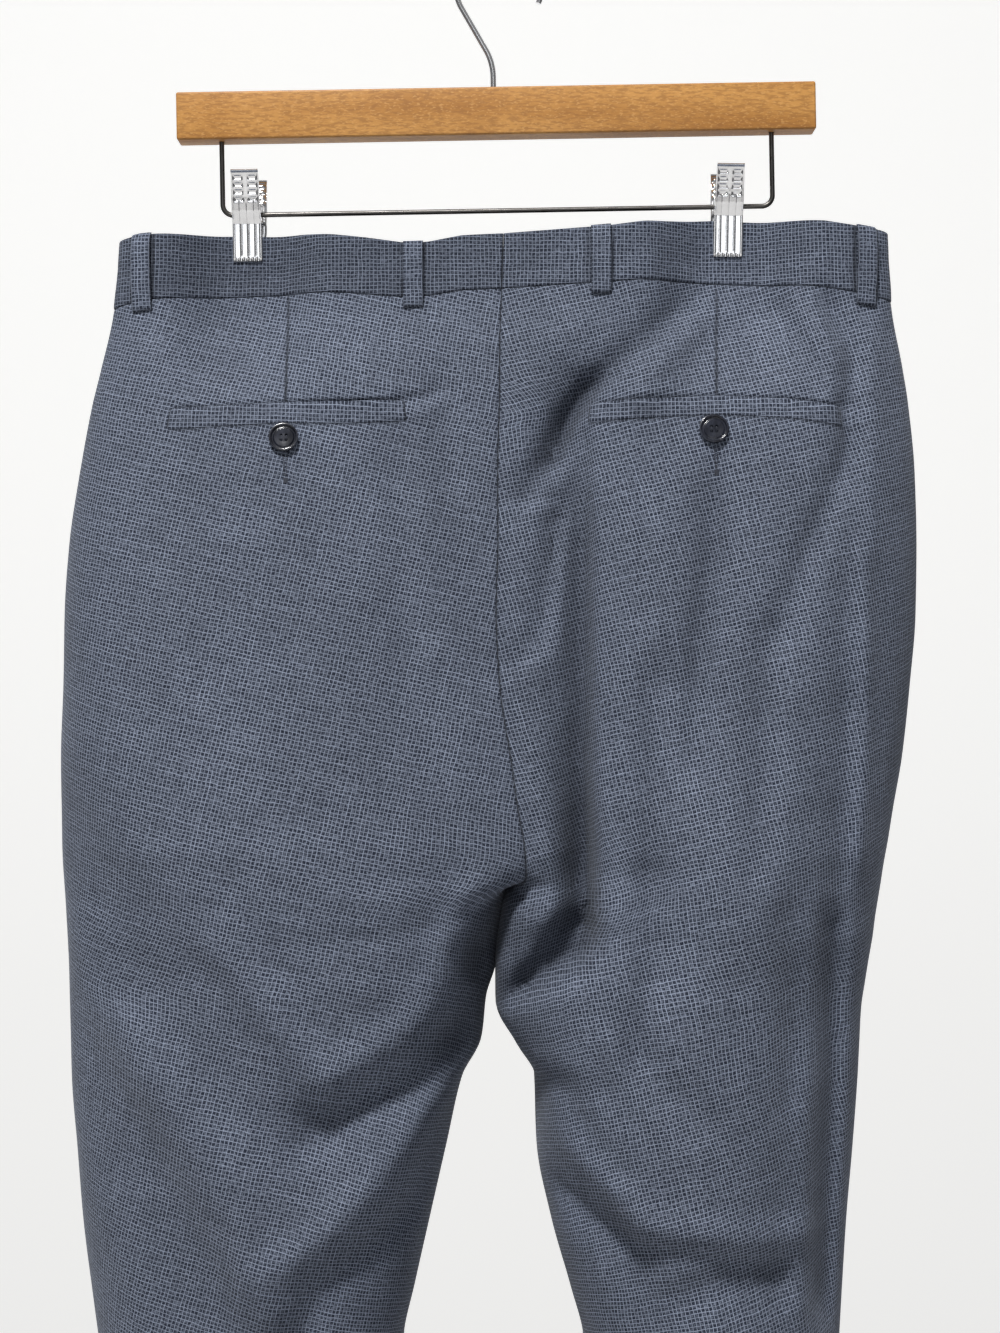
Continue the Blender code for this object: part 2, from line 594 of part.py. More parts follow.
def build_clip(name, x, lean, tilt, chrome, steel):
    """Two bent jaws whose ears hang on the rail, and the spring between them."""
    place = bpy.data.objects.new(f"clip_{name}_place", None)
    PART.objects.link(place)
    place.parent = tilt
    place.location = Vector((x, 0, BAR_TOP - RAIL_DROP)) * MM
    place.rotation_euler = (0, lean, 0)
    for jaw, face, ear_x in (("back", -1, EAR_OUT), ("front", 1, EAR_IN)):
        profile = jaw_profile(face)
        shape = bmesh.new()
        ends = []
        for across in (-CLIP_WIDTH / 2, CLIP_WIDTH / 2):
            ends.append([shape.verts.new(Vector((across, y, z)) * MM) for y, z in profile])
        last = len(profile)
        for i in range(last):
            j = (i + 1) % last
            shape.faces.new([ends[0][i], ends[0][j], ends[1][j], ends[1][i]])
        for end in ends:
            for i in range(last // 2 - 1):
                shape.faces.new([end[i], end[i + 1], end[last - 2 - i], end[last - 1 - i]])
        bmesh.ops.recalc_face_normals(shape, faces=shape.faces)
        mesh = bpy.data.meshes.new(f"clip_{name}_{jaw}")
        shape.to_mesh(mesh)
        shape.free()
        plate = add_object(f"clip_{name}_{jaw}", mesh, chrome, smooth=False)
        plate.parent = place
        reach = sorted((face * (CLIP_WAIST + 0.45), -face * EAR_PAST))
        for sign in (-1, 1):
            low = (sign * ear_x - EAR_SHEET / 2, reach[0], EAR_BOTTOM)
            high = (sign * ear_x + EAR_SHEET / 2, reach[1], EAR_TOP)
            ear = box_mesh(f"ear_{name}_{jaw}_{sign}", low, high)
            boolean(plate, cutter(ear, (0, 0, 0), place), "UNION")
        bore = rod_mesh(f"bore_{name}_{jaw}", RAIL_WIRE + 2 * FIT, CLIP_WIDTH + 4, "X")
        boolean(plate, cutter(bore, (0, 0, 0), place), "DIFFERENCE")
    coil = add_object(
        f"clip_{name}_spring",
        rod_mesh(f"clip_{name}_spring", SPRING_RADIUS, 2 * SPRING_HALF, "X", 16), steel,
    )
    coil.parent = place
    core = rod_mesh(f"core_{name}", RAIL_WIRE + 2 * FIT, 3 * SPRING_HALF, "X")
    boolean(coil, cutter(core, (0, 0, 0), place), "DIFFERENCE")


# ------------------------------------------------------------------ trousers


def panel_drops():
    """Drops of the panels' sections: the table's own rows, and more between the wide ones."""
    knots = SECTIONS[:, 0]
    drops = [BAND_HEIGHT + SEAM_GAP]
    for low, high in zip(knots[1:-1], knots[2:]):
        step = ROW_STEP / 2 if POCKET_ROWS[0] < low < POCKET_ROWS[1] else ROW_STEP
        steps = max(1, round((high - low) / step))
        drops += list(np.linspace(low, high, steps + 1)[1:])
    return np.array(drops)


def build_panels(panels, cloth):
    for name, grid in panels.items():
        cloth_wall(f"back_{name}", *grid.piece(-1, 0), CLOTH_WALL, cloth)
        cloth_wall(f"front_{name}", *grid.piece(0, 1), CLOTH_WALL, cloth)


def build_waistband(bands, cloth):
    for name, grid in bands.items():
        cloth_wall(f"waistband_{name}", *grid.piece(-1, 1), BAND_WALL, cloth, proud=BAND_PROUD)


def build_belt_loops(bands, panels, cloth):
    """Six loops: two at the back, one by each side seam and one at each front."""
    for name, face, x in BELT_LOOPS:
        side = name.split("_")[-1]
        points, normals = [], []
        for drop, slack in LOOP_ROWS:
            grid = bands[side] if drop <= BAND_HEIGHT else panels[side]
            for across in (-0.5, 0.0, 0.5):
                turn = grid.turn_at(face, x + across * LOOP_WIDTH, drop)
                point, normal = grid.at(turn, drop)
                points.append(point + normal * slack)
                normals.append(normal)
        points = np.array(points).reshape(-1, 3, 3)
        normals = np.array(normals).reshape(-1, 3, 3)
        middle = normals[:, 1:2] + 0 * normals
        bulge = np.array([0.35, 0, 0.35])[None, :, None]
        wall(name, points + middle * (LOOP_WALL - bulge), points, cloth)


def build_back_pockets(panels, cloth, horn):
    """A single welt and a button on each back panel."""
    for name, top, height, button_x, button_level in BACK_POCKETS:
        grid = panels[name]
        xs, levels = np.array(top).T
        ends = [grid.locate(-1, x, level) for x, level in (top[0], top[-1])]
        turns = grid.between(*sorted(turn for turn, _ in ends))
        turns = np.sort([*turns, *((turns[1:] + turns[:-1]) / 2)])
        points, normals = [], []
        for part in (0.0, 0.33, 0.67, 1.0):
            row = []
            for turn in turns:
                drop = 100.0
                for _ in range(12):
                    point = grid.at(turn, drop)[0]
                    level = np.interp(point[0], xs, levels) + part * height
                    drop += point[2] - (WAIST_TOP - level)
                row.append(grid.at(turn, drop))
            points.append([point for point, _ in row])
            normals.append([normal for _, normal in row])
        points, normals = np.array(points), np.array(normals)
        wall(f"pocket_welt_{name}", points + normals * (SEAT_GAP + WELT_WALL),
             points + normals * SEAT_GAP, cloth)
        build_button(f"pocket_button_{name}", *button_seat(grid, button_x, button_level), horn)


def button_seat(grid, x, level):
    """(place, normal) of a button that rests on the highest points of the cloth under it."""
    under = [
        grid.at(*grid.locate(-1, x + r * math.cos(a), level + r * math.sin(a)))
        for r in (BUTTON_RADIUS / 2, BUTTON_RADIUS) for a in np.linspace(0, 2 * math.pi, 8, endpoint=False)
    ]
    middle, _ = grid.at(*grid.locate(-1, x, level))
    normal = np.sum([facing for _, facing in under], axis=0)
    normal /= np.linalg.norm(normal)
    rise = max(float((point - middle) @ normal) for point, _ in under)
    return middle + normal * (max(rise, 0) + SEAT_GAP), normal


def build_button(name, place, normal, horn):
    """A four-hole button: a turned dish with a raised rim."""
    outline = (
        (0.0, 2.0), (4.6, 1.8), (5.2, BUTTON_THICK), (6.6, BUTTON_THICK),
        (BUTTON_RADIUS, 1.7), (6.9, 0.3), (5.6, 0.0), (0.0, 0.0),
    )
    mesh = bpy.data.meshes.new(name)
    shape = bmesh.new()
    dots = [shape.verts.new((r * MM, 0, z * MM)) for r, z in outline]
    for a, b in zip(dots, dots[1:]):
        shape.edges.new((a, b))
    shape.to_mesh(mesh)
    shape.free()
    button = add_object(name, mesh, horn, smooth=False)
    turned = button.modifiers.new("turned", "SCREW")
    turned.steps = turned.render_steps = 20
    turned.use_merge_vertices = True
    turned.merge_threshold = 0.00002
    turned.use_normal_calculate = True
    button.location = Vector(place) * MM
    button.rotation_mode = "QUATERNION"
    button.rotation_quaternion = Vector(normal).to_track_quat("Z", "Y")
    for a in (-1, 1):
        for b in (-1, 1):
            drill = rod_mesh(f"{name}_hole_{a}_{b}", HOLE_RADIUS, 8, "Z", 6)
            place = (a * HOLE_OUT, b * HOLE_OUT, 1)
            boolean(button, cutter(drill, place, button), "DIFFERENCE")


def across_seam(left, right, drops, reach_left, reach_right):
    """A patch over the front centre seam, from reach_left(drop) before it to reach_right after it."""
    points, normals = [], []
    top = drops[0]
    seam = left.at(1.0, top)[0][0]
    left_turns = left.between(left.turn_at(1, seam - reach_left(top), top), 1.0)
    right_turns = right.between(right.turn_at(1, seam + reach_right(top), top), 1.0)
    for drop in drops:
        seam = left.at(1.0, drop)[0][0]
        row = []
        for grid, turns, reach in ((left, left_turns, -reach_left(drop)),
                                   (right, right_turns[::-1], reach_right(drop))):
            end = grid.turn_at(1, seam + reach, drop)
            outer = min(turns)
            moved = 1 - (1 - turns) * (1 - end) / (1 - outer)
            row += [grid.at(turn, drop) for turn in moved]
        del row[len(left_turns)]
        points.append([point for point, _ in row])
        normals.append([normal for _, normal in row])
    return np.array(points), np.array(normals)


def build_front(bands, panels, cloth, teeth):
    """The fly, its zip, the waistband's tab and the slanted pocket mouths."""
    left, right = panels["left"], panels["right"]
    drops = [d for d in left.drops if BAND_HEIGHT + 2 < d < BAND_HEIGHT + FLY_LENGTH - 40]
    drops = [BAND_HEIGHT + 2, *drops]
    drops += [BAND_HEIGHT + FLY_LENGTH - back for back in (36, 22, 10, 3, 0)]

    def fly_width(drop):
        past = max(0.0, (drop - BAND_HEIGHT - FLY_LENGTH + 40) / 44)
        return FLY_WIDTH * math.sqrt(1 - past ** 2)

    points, normals = across_seam(left, right, drops, fly_width, lambda drop: FLY_OVERLAP)
    wall("fly_flap", points + normals * (SEAT_GAP + 1.0), points + normals * SEAT_GAP, cloth)
    points, normals = across_seam(left, right, drops[:-2], lambda drop: ZIP_HALF, lambda drop: ZIP_HALF)
    back = CLOTH_WALL + SEAT_GAP
    wall("fly_zip", points - normals * back, points - normals * (back + 1.4), teeth)
    points, normals = across_seam(
        bands["left"], bands["right"], BAND_ROWS, lambda drop: TAB_UNDER, lambda drop: TAB_LENGTH,
    )
    lift = BAND_PROUD + SEAT_GAP
    wall("waistband_tab", points + normals * (lift + 1.8), points + normals * lift, cloth)
    for name, grid in panels.items():
        levels = np.linspace(BAND_HEIGHT + 3, POCKET_BOTTOM, 19)
        points, normals = [], []
        for level in levels:
            x = POCKET_TOP_X + (level - BAND_HEIGHT) * POCKET_SLANT
            row = [
                grid.at(*grid.locate(1, grid.side * (x - inset), level))
                for inset in (POCKET_EDGE_WIDTH, POCKET_EDGE_WIDTH * 0.6, POCKET_EDGE_WIDTH * 0.3, 0.0)
            ]
            points.append([point for point, _ in row])
            normals.append([normal for _, normal in row])
        points, normals = np.array(points), np.array(normals)
        wall(f"front_pocket_{name}", points + normals * (SEAT_GAP + 0.8),
             points + normals * SEAT_GAP, cloth)


def main():
    tilt = bpy.data.objects.new("hanger_tilt", None)
    PART.objects.link(tilt)
    tilt.rotation_euler = (0, -HANGER_TILT, 0)
    build_hanger(tilt)
    cloth = material("charcoal_check", CHARCOAL, 0.85)
    horn = material("horn", (0.035, 0.037, 0.045), 0.25)
    panels = {"left": Cloth(-1, panel_drops()), "right": Cloth(1, panel_drops())}
    bands = {"left": Cloth(-1, BAND_ROWS), "right": Cloth(1, BAND_ROWS)}
    share_seams(*panels.values())
    share_seams(*bands.values())
    build_panels(panels, cloth)
    build_waistband(bands, cloth)
    build_belt_loops(bands, panels, cloth)
    build_back_pockets(panels, cloth, horn)
    build_front(bands, panels, cloth, material("zip_teeth", (0.12, 0.12, 0.13), 0.4, 0.8))


clear_scene()
PART = bpy.data.collections.new("dress_trousers_on_hanger")
CUTTERS = bpy.data.collections.new("cutters")
bpy.context.scene.collection.children.link(PART)
bpy.context.scene.collection.children.link(CUTTERS)
main()
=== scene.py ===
"""Flat-front dress trousers, hung by two spring clips from a wooden bar hanger.

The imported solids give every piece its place. This script dresses them: finely folded cloth in a
small woven check, belt loops, welt pockets, horn buttons, sewing, chrome clips and a varnished bar.
"""

import sys

import logging
import math
from dataclasses import dataclass
from enum import Enum

import bmesh
import bpy
import numpy as np
from mathutils import Matrix, Vector


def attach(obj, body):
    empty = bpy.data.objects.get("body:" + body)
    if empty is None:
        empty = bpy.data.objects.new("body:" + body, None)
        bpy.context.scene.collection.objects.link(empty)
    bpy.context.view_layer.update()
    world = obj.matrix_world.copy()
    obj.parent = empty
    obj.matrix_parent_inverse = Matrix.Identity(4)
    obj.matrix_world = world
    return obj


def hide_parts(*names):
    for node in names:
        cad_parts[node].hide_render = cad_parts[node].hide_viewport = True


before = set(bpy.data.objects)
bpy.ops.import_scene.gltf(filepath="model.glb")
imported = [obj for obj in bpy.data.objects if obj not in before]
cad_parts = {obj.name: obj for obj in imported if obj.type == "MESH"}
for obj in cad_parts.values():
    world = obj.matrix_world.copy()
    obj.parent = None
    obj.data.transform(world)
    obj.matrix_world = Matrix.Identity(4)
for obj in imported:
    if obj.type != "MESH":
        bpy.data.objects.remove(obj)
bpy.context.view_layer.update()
LOG = logging.getLogger("dress_trousers")

Grid = np.ndarray
Piece = bpy.types.Object
Material = bpy.types.Material
Socket = bpy.types.NodeSocket

MM = 0.001
BODY = "root"
CLOTH_SLOT = "charcoal_check"
# Length of one repeat of the check, and how many rows of a grid its count is evened over.
WEAVE_REPEAT = 2.1
WEAVE_EVEN_ROWS = 16

# ---- the garment, in millimetres ----
WAIST_TOP = -160.2
BAND_HEIGHT = 40.0
BAND_WALL = 2.2
BAND_PROUD = 0.4
CLOTH_WALL = 1.2
CLIP_HALF_CLOTH = 1.9
HEM_DROP = 1055.0
HEM_DEPTH = 38.0
FLY_LENGTH = 178.0
FLY_WIDTH = 38.0
FLY_OVERLAP = 8.0
TAB_LENGTH = 38.0
TAB_UNDER = 4.0
LOOP_WIDTH = 11.0
BUTTON_RADIUS = 7.9
# The joined centre seams part into two legs between these drops.
FORK_PARTS = (384.0, 392.0)
# Depths by which turned-in edges of a panel and of a waistband half sink, from the edge inwards.
TURNED_EDGE = (-1.7, -0.75, -0.28, -0.06)
BAND_EDGE = (-1.4, -0.6, -0.2, -0.04)

# ---- the hanger, in millimetres ----
BAR_LENGTH = 355.6
BAR_HEIGHT = 26.5
BAR_DEPTH = 16.0
BAR_TOP = -80.0
BAR_MIDDLE = -2.7
BAR_EDGE = 1.2
HANGER_TILT = math.radians(1.0)
HOOK_WIRE = 1.65
HOOK_BEND = 24.0
HOOK_SHANK_X = -4.0
HOOK_LEAN = math.radians(29.0)
HOOK_TIP = math.radians(-24.0)
HOOK_IN_BAR = 14.0
HOOK_KNEE = 8.0
RAIL_WIRE = 1.4
RAIL_HALF = 153.6
RAIL_DROP = 67.6
RAIL_BEND = 6.0
RAIL_IN_BAR = 8.0
FIT = 0.3
CLIP_LEFT_X = -139.6
CLIP_RIGHT_X = 128.8
CLIP_PRESS_LEVEL = -166.0
CLIP_RIGHT_LEAN = math.radians(2.0)

# Sections down the garment. drop: below the waist edge at the side seam; back_drop, front_drop: the
# same for the inner end of the section. out and in: reach from the middle to the side seam and to
# the inner end. seam: depth of the centre seam; belly: how much the panel swells between its
# seams. leg: 0 for half a body, 1 for a whole leg. blunt, inner: how square the two ends are.
SECTION_COLUMNS = (
    "drop", "back_drop", "front_drop", "out_l", "out_r", "in_l", "in_r",
    "seam_b", "belly_b", "seam_f", "belly_f", "leg", "blunt", "inner", "crease",
)
SECTIONS = np.array([
    (0, 0, 0, 210.6, 216.8, -3, 3, 21.5, 4, 18, 4, 0, 0.52, 1, 0),
    (40, 40, 40, 214.0, 219.0, -2, 2, 23, 4, 20, 4, 0, 0.55, 1, 0),
    (76, 76, 76, 221.2, 225.0, -1, 1, 34, 9, 28, 8, 0, 0.60, 1, 0),
    (96, 96, 96, 225.7, 228.0, -1, 1, 39, 12, 32, 11, 0, 0.62, 1, 0),
    (135, 135, 135, 232.4, 231.5, 0, 0, 46, 17, 37, 15, 0, 0.66, 1, 0),
    (174, 174, 174, 238.0, 232.4, 0, 0, 51, 21, 41, 20, 0, 0.70, 1, 0),
    (213, 213, 213, 240.6, 231.8, 1, -1, 54, 25, 42, 25, 0, 0.74, 1, 0),
    (252, 252, 250, 241.2, 228.5, -1, 1, 57, 29, 42, 30, 0, 0.78, 1, 0),
    (292, 292, 287, 242.5, 224.0, -7, 7, 60, 33, 39, 36, 0, 0.82, 1, 0),
    (320, 320, 312, 242.2, 219.0, -11, 11, 62, 36, 34, 42, 0, 0.85, 1, 0),
    (338, 337, 327, 242.0, 216.0, -14, 14, 62, 40, 28, 48, 0, 0.88, 1, 0),
    (350, 349, 338, 241.6, 213.8, -15, 15, 60, 43, 22, 54, 0.05, 0.90, 1, 0),
    (360, 356, 347, 240.8, 212.2, -15, 15, 53, 50, 15, 60, 0.12, 0.92, 0.80, 0),
    (370, 359, 353, 239.8, 210.4, -12, 12, 38, 62, 8, 67, 0.25, 0.92, 0.55, 0),
    (380, 360, 358, 238.8, 208.5, -8, 8, 17, 79, 3, 72, 0.45, 0.92, 0.42, 0),
    (390, 361, 361, 237.9, 207.0, -6.0, 4.6, 0, 91, 0, 76, 0.65, 0.95, 0.36, 0),
    (402, 381, 381, 237.3, 205.0, -2.7, 0.4, 0, 91, 0, 79, 0.85, 1, 0.42, 0.5),
    (415, 404, 404, 237.0, 203.0, 0.6, -1.6, 0, 92, 0, 82, 1, 1, 0.49, 1),
    (428, 424, 424, 236.7, 201.0, 6.4, -1.5, 0, 92, 0, 84, 1, 1, 0.55, 1.5),
    (448, 447, 447, 236.2, 199.8, 9.0, 9.0, 0, 92, 0, 86, 1, 1, 0.62, 2),
    (467.6, 467.6, 467.6, 235.8, 198.8, 19.4, 20.0, 0, 91, 0, 87, 1, 1, 0.68, 2.5),
    (506.7, 506.7, 506.7, 232.8, 196.2, 28.5, 21.4, 0, 89, 0, 87, 1, 1, 0.72, 3),
    (545.8, 545.8, 545.8, 230.0, 193.2, 37.4, 29.0, 0, 86, 0, 86, 1, 1, 0.72, 3.5),
    (584.9, 584.9, 584.9, 225.4, 191.0, 46.2, 40.0, 0, 84, 0, 84, 1, 1, 0.74, 4),
    (614, 614, 614, 221.5, 189.4, 52.5, 47.4, 0, 83, 0, 83, 1, 1, 0.78, 4.5),
    (700, 700, 700, 208.5, 184.5, 58.5, 53.0, 0, 80, 0, 82, 1, 1, 0.90, 5),
    (800, 800, 800, 197.0, 177.5, 64.5, 58.0, 0, 78, 0, 79, 1, 1, 1.05, 5.5),
    (900, 900, 900, 188.0, 171.0, 68.5, 61.5, 0, 76, 0, 76, 1, 1, 1.08, 6),
    (1000, 1000, 1000, 181.5, 166.5, 71.0, 64.0, 0, 74, 0, 74, 1, 1, 1.10, 6.5),
    (1055, 1055, 1055, 180.0, 165.0, 71.5, 64.5, 0, 74, 0, 74, 1, 1, 1.10, 6.5),
])
# How far the inner end of a leg is turned where the two legs press past each other: drop, turn.
LEG_PASS = ((380, 0), (390, 3), (402, 9), (415, 10), (428, 8), (448, 4), (470, 0))
# Height of the waist edge above its nominal line, as it waves between the clips: x, height.
WAIST_EDGE = (
    (-212, -4.0), (-197, -1.7), (-150, -0.6), (-128, -0.6), (-108, -1.2), (-80, -3.6), (-51, -6.4),
    (-38, -5.4), (-20, -1.8), (5, -0.4), (57, 3.4), (80, 5.6), (113, 7.0), (142, 6.7), (180, 5.0),
    (220, 0.5),
)
# How far the band's upper edge alone sinks below that line: x, height.
BAND_SINK = (
    (-212, 2.0), (-150, 1.6), (-70, 2.4), (-42, 3.4), (62, 3.6), (92, 2.6), (118, 0.4), (150, 1.4),
    (220, 1.9),
)
# How high the waist seam is drawn up between the side seams, and the drops where that and the
# wave of the edge have run out.
BAND_LIFT = 6.0
BAND_LIFT_END = 250.0
EDGE_WAVE_END = 170.0

# Folds on the back (-1) or the front (1), each along a line of (x, drop) places. A fold stands out
# by height, or in where that is negative; reach_l and reach_r are its spread to the left and the
# right of the line as it is walked. Each row is its face, height, reach_l, reach_r and line. The
# large ones come first, then the fine creases.
LARGE_FOLDS = (
    (-1, -15, 16, 14, ((-6, 400), (-24, 438))),
    (-1, -5, 12, 16, ((-12, 450), (-56, 466), (-84, 478), (-96, 485))),
    (-1, -8, 24, 26, ((-226, 335), (-180, 408), (-140, 458), (-104, 490))),
    (-1, 7, 16, 26, ((-30, 474), (-52, 508), (-78, 542), (-112, 574))),
    (-1, -6, 22, 22, ((-226, 470), (-184, 520), (-166, 560), (-156, 606))),
    (-1, 9, 24, 12, ((24, 462), (62, 512), (74, 534), (90, 560))),
    (-1, -6, 11, 14, ((26, 516), (52, 536), (70, 550), (90, 562), (146, 566))),
    (-1, -6, 22, 22, ((178, 270), (174, 385), (166, 480), (156, 565))),
    (-1, -4, 20, 20, ((110, 165), (102, 270), (94, 400))),
    (-1, -6, 16, 20, ((38, 95), (42, 170), (48, 270), (42, 380))),
    (-1, -5, 12, 16, ((98, 56), (52, 78), (34, 110), (8, 148))),
    (1, -6, 24, 24, ((-60, 470), (-140, 560))),
    (1, -6, 24, 24, ((55, 480), (130, 570))),
    (1, -5, 22, 22, ((-30, 330), (-110, 300))),
    (1, -5, 22, 22, ((34, 330), (112, 305))),
    (1, -4, 26, 26, ((-150, 70), (-130, 240))),
    (1, -4, 26, 26, ((150, 80), (130, 240))),
)
FINE_FOLDS = (
    (-1, (-6, -12, -14, -16, -25, -27, -16), 5, 12,
     ((46, 127), (46, 186), (46, 249), (45, 300), (47, 343), (47, 380), (44, 394))),
    (-1, (-12, -26, -26, -14), 5.5, 17, ((46, 392), (30, 403), (15, 413), (2, 421))),
    (-1, (-3, -7, -11, -14.5, -14, -14, -8), 5, 8.5,
     ((103, 50), (85, 70), (64, 86), (50, 98), (38, 114), (29, 134), (15, 151))),
    (-1, 4.5, 8, 7, ((114, 59), (95, 79), (78, 101))),
    (-1, -2.6, 5, 7, ((106, 56), (83, 80), (65, 96))),
    (-1, -1.7, 5, 5, ((90, 91), (82, 99))),
    (-1, -5.5, 6, 8, ((184, 51), (195, 74), (192, 101))),
    (-1, 2.6, 8, 8, ((172, 58), (182, 79), (180, 98))),
    (-1, -3.6, 6, 7, ((154, 51), (165, 71), (174, 92))),
    (-1, -3.8, 3.5, 5, ((2, 155), (12, 155), (26, 153))),
    (-1, 2.3, 5, 5, ((3, 161), (12, 161), (23, 159))),
    (-1, -8.0, 4.5, 8, ((32, 163), (27, 197), (22, 228), (9, 241))),
    (-1, 4.5, 7, 6, ((7, 186), (8, 212), (7, 231))),
    (-1, 1.7, 6, 5, ((4, 255), (15, 245), (27, 230))),
    (-1, -3.8, 5, 4, ((187, 106), (190, 123), (187, 139))),
    (-1, -5.0, 7, 8, ((189, 125), (178, 155), (163, 186), (153, 220))),
    (-1, -2.6, 3.5, 4, ((-51, 101), (-44, 100.5), (-38, 98.5))),
    (-1, 1.7, 5, 5, ((-48, 108), (-39, 107), (-32, 103))),
    (-1, -3.8, 11, 11, ((-54, 140), (-50, 187), (-46, 228))),
    (-1, -4.2, 10, 11, ((-26, 99), (-23, 145), (-13, 202), (-3, 255))),
    (-1, 5.1, 7, 8, ((24, 377), (14, 397), (2, 414))),
    (-1, -4.3, 8, 10, ((27, 260), (31, 307), (33, 345))),
    (-1, (-3, -8, -8.5, -5), 6.5, 9, ((117, 147), (115, 182), (109, 226), (104, 291))),
    (-1, -7.0, 8, 10, ((84, 254), (83, 307), (79, 354))),
    (-1, -6.0, 9, 11, ((144, 228), (141, 281), (137, 337))),
    (-1, -5.5, 9, 10, ((85, 354), (82, 397), (75, 441))),
    (-1, 3.8, 6, 5, ((196, 186), (196, 228), (195, 281), (192, 345))),
    (-1, 2.3, 8, 6, ((203, 66), (203, 121), (200, 175))),
    (-1, -3.2, 8, 8, ((185, 207), (185, 260), (183, 313), (181, 350))),
    (-1, -9.5, 6, 10, ((179, 380), (180, 421), (179, 474), (177, 582))),
    (-1, -4.5, 8, 10, ((154, 375), (156, 418), (154, 465))),
    (-1, 3.2, 9, 7, ((163, 466), (162, 520), (161, 579))),
    (-1, -13.0, 9, 10, ((10, 389), (-3, 395), (-8, 402), (-6, 417))),
    (-1, 4.3, 12, 8, ((4, 352), (-11, 360), (-26, 381), (-30, 398))),
    (-1, (-5, -5, -6, -5, -2.5), 10, 12, ((3, 438), (-28, 452), (-52, 462), (-78, 473), (-90, 481))),
    (-1, 5.8, 13, 10, ((-15, 419), (-38, 428), (-63, 440), (-83, 455))),
    (-1, (-2, -3.4, -3.4, -2), 11, 13, ((-97, 475), (-122, 442), (-155, 401), (-183, 367))),
    (-1, 2.6, 9, 9, ((-88, 463), (-112, 431), (-142, 395))),
    (-1, -2.6, 7, 7, ((-136, 360), (-119, 390), (-99, 425))),
    (-1, -7.2, 9, 13, ((-27, 498), (-43, 529), (-71, 554), (-96, 568), (-102, 589))),
    (-1, 5.8, 12, 9, ((-33, 475), (-59, 505), (-86, 534), (-110, 551))),
    (-1, -4.6, 11, 13, ((-223, 438), (-187, 486), (-157, 547), (-138, 589))),
    (-1, 3.2, 12, 12, ((-189, 439), (-160, 484), (-131, 540), (-118, 575))),
    (-1, -4.6, 9, 11, ((31, 462), (45, 484), (62, 504))),
    (-1, 3.8, 7, 7, ((31, 491), (45, 504), (64, 517))),
    (-1, (-3, -4, -4, -3.5, -3), 5, 8, ((26, 518), (54, 534), (75, 546), (106, 549), (142, 558))),
    (-1, 4.6, 9, 7, ((74, 531), (106, 536), (138, 542), (160, 542))),
    (-1, -2.9, 9, 9, ((74, 436), (84, 458), (105, 477))),
    (-1, 2.6, 8, 8, ((59, 442), (74, 468), (95, 493))),
    (-1, 2.9, 6, 5, ((22, 345), (12, 389), (4, 401))),
    (-1, -2.2, 16, 18, ((-142, 207), (-133, 260), (-108, 317))),
    (-1, -1.9, 18, 18, ((-196, 228), (-185, 296), (-166, 364))),
    (-1, 1.7, 20, 20, ((-93, 208), (-85, 281), (-74, 348))),
    (-1, -2.3, 12, 16, ((-41, 260), (-30, 307), (-19, 350))),
    (-1, -2.0, 10, 10, ((-30, 370), (-36, 397), (-51, 413))),
    (1, -2.2, 7, 9, ((14, 236), (26, 300), (58, 322))),
    (1, -2.2, 9, 7, ((-12, 240), (-28, 300), (-60, 318))),
    (1, 1.7, 12, 12, ((-96, 150), (-92, 250), (-104, 350))),
    (1, -1.7, 12, 12, ((96, 140), (104, 240), (92, 330))),
    (1, -2.4, 9, 9, ((30, 420), (78, 450), (128, 462))),
    (1, -2.4, 9, 9, ((-26, 416), (-84, 444), (-150, 470))),
)
# How far a fine fold fades out past its ends, for its narrower spread.
FINE_FOLD_FADE = 1.9
# Slow swells of the loose cloth: height, wave length across and down, turn of phase.
SWELLS = ((0.30, 86, 210, 0.4), (0.22, 57, 133, 2.1), (0.16, 37, 74, 4.0), (0.10, 23, 41, 1.2))


class Side(Enum):
    """The garment's halves, as they lie along X."""

    LEFT = -1
    RIGHT = 1

    @property
    def word(self) -> str:
        """The half's name, as the nodes spell it."""
        return self.name.lower()

    @property
    def other(self) -> "Side":
        """The other half."""
        return Side(-self.value)


class Face(Enum):
    """The back and the front of the garment."""

    BACK = -1
    FRONT = 1

    @property
    def word(self) -> str:
        """The face's name, as the nodes spell it."""
        return self.name.lower()


def smooth_step(value: Grid, start: float, end: float) -> Grid:
    """Rise from 0 to 1 between two values, level at both ends.

    Args:
        value: Where to read the step.
        start: The value at which the rise starts.
        end: The value at which it ends.

    Returns:
        Numbers from 0 to 1.
    """
    u = np.clip((value - start) / (end - start), 0, 1)
    return u * u * (3 - 2 * u)


def window(value: Grid, start: float, full: float, fading: float, end: float) -> Grid:
    """Rise from 0 to 1 between start and full, and fall back to 0 between fading and end."""
    return smooth_step(value, start, full) * (1 - smooth_step(value, fading, end))


def groove(away: Grid, reach: float) -> Grid:
    """1 on a line and near 0 beyond a reach on either side of it, by the distance from it."""
    return np.exp(-(away / reach) ** 2)


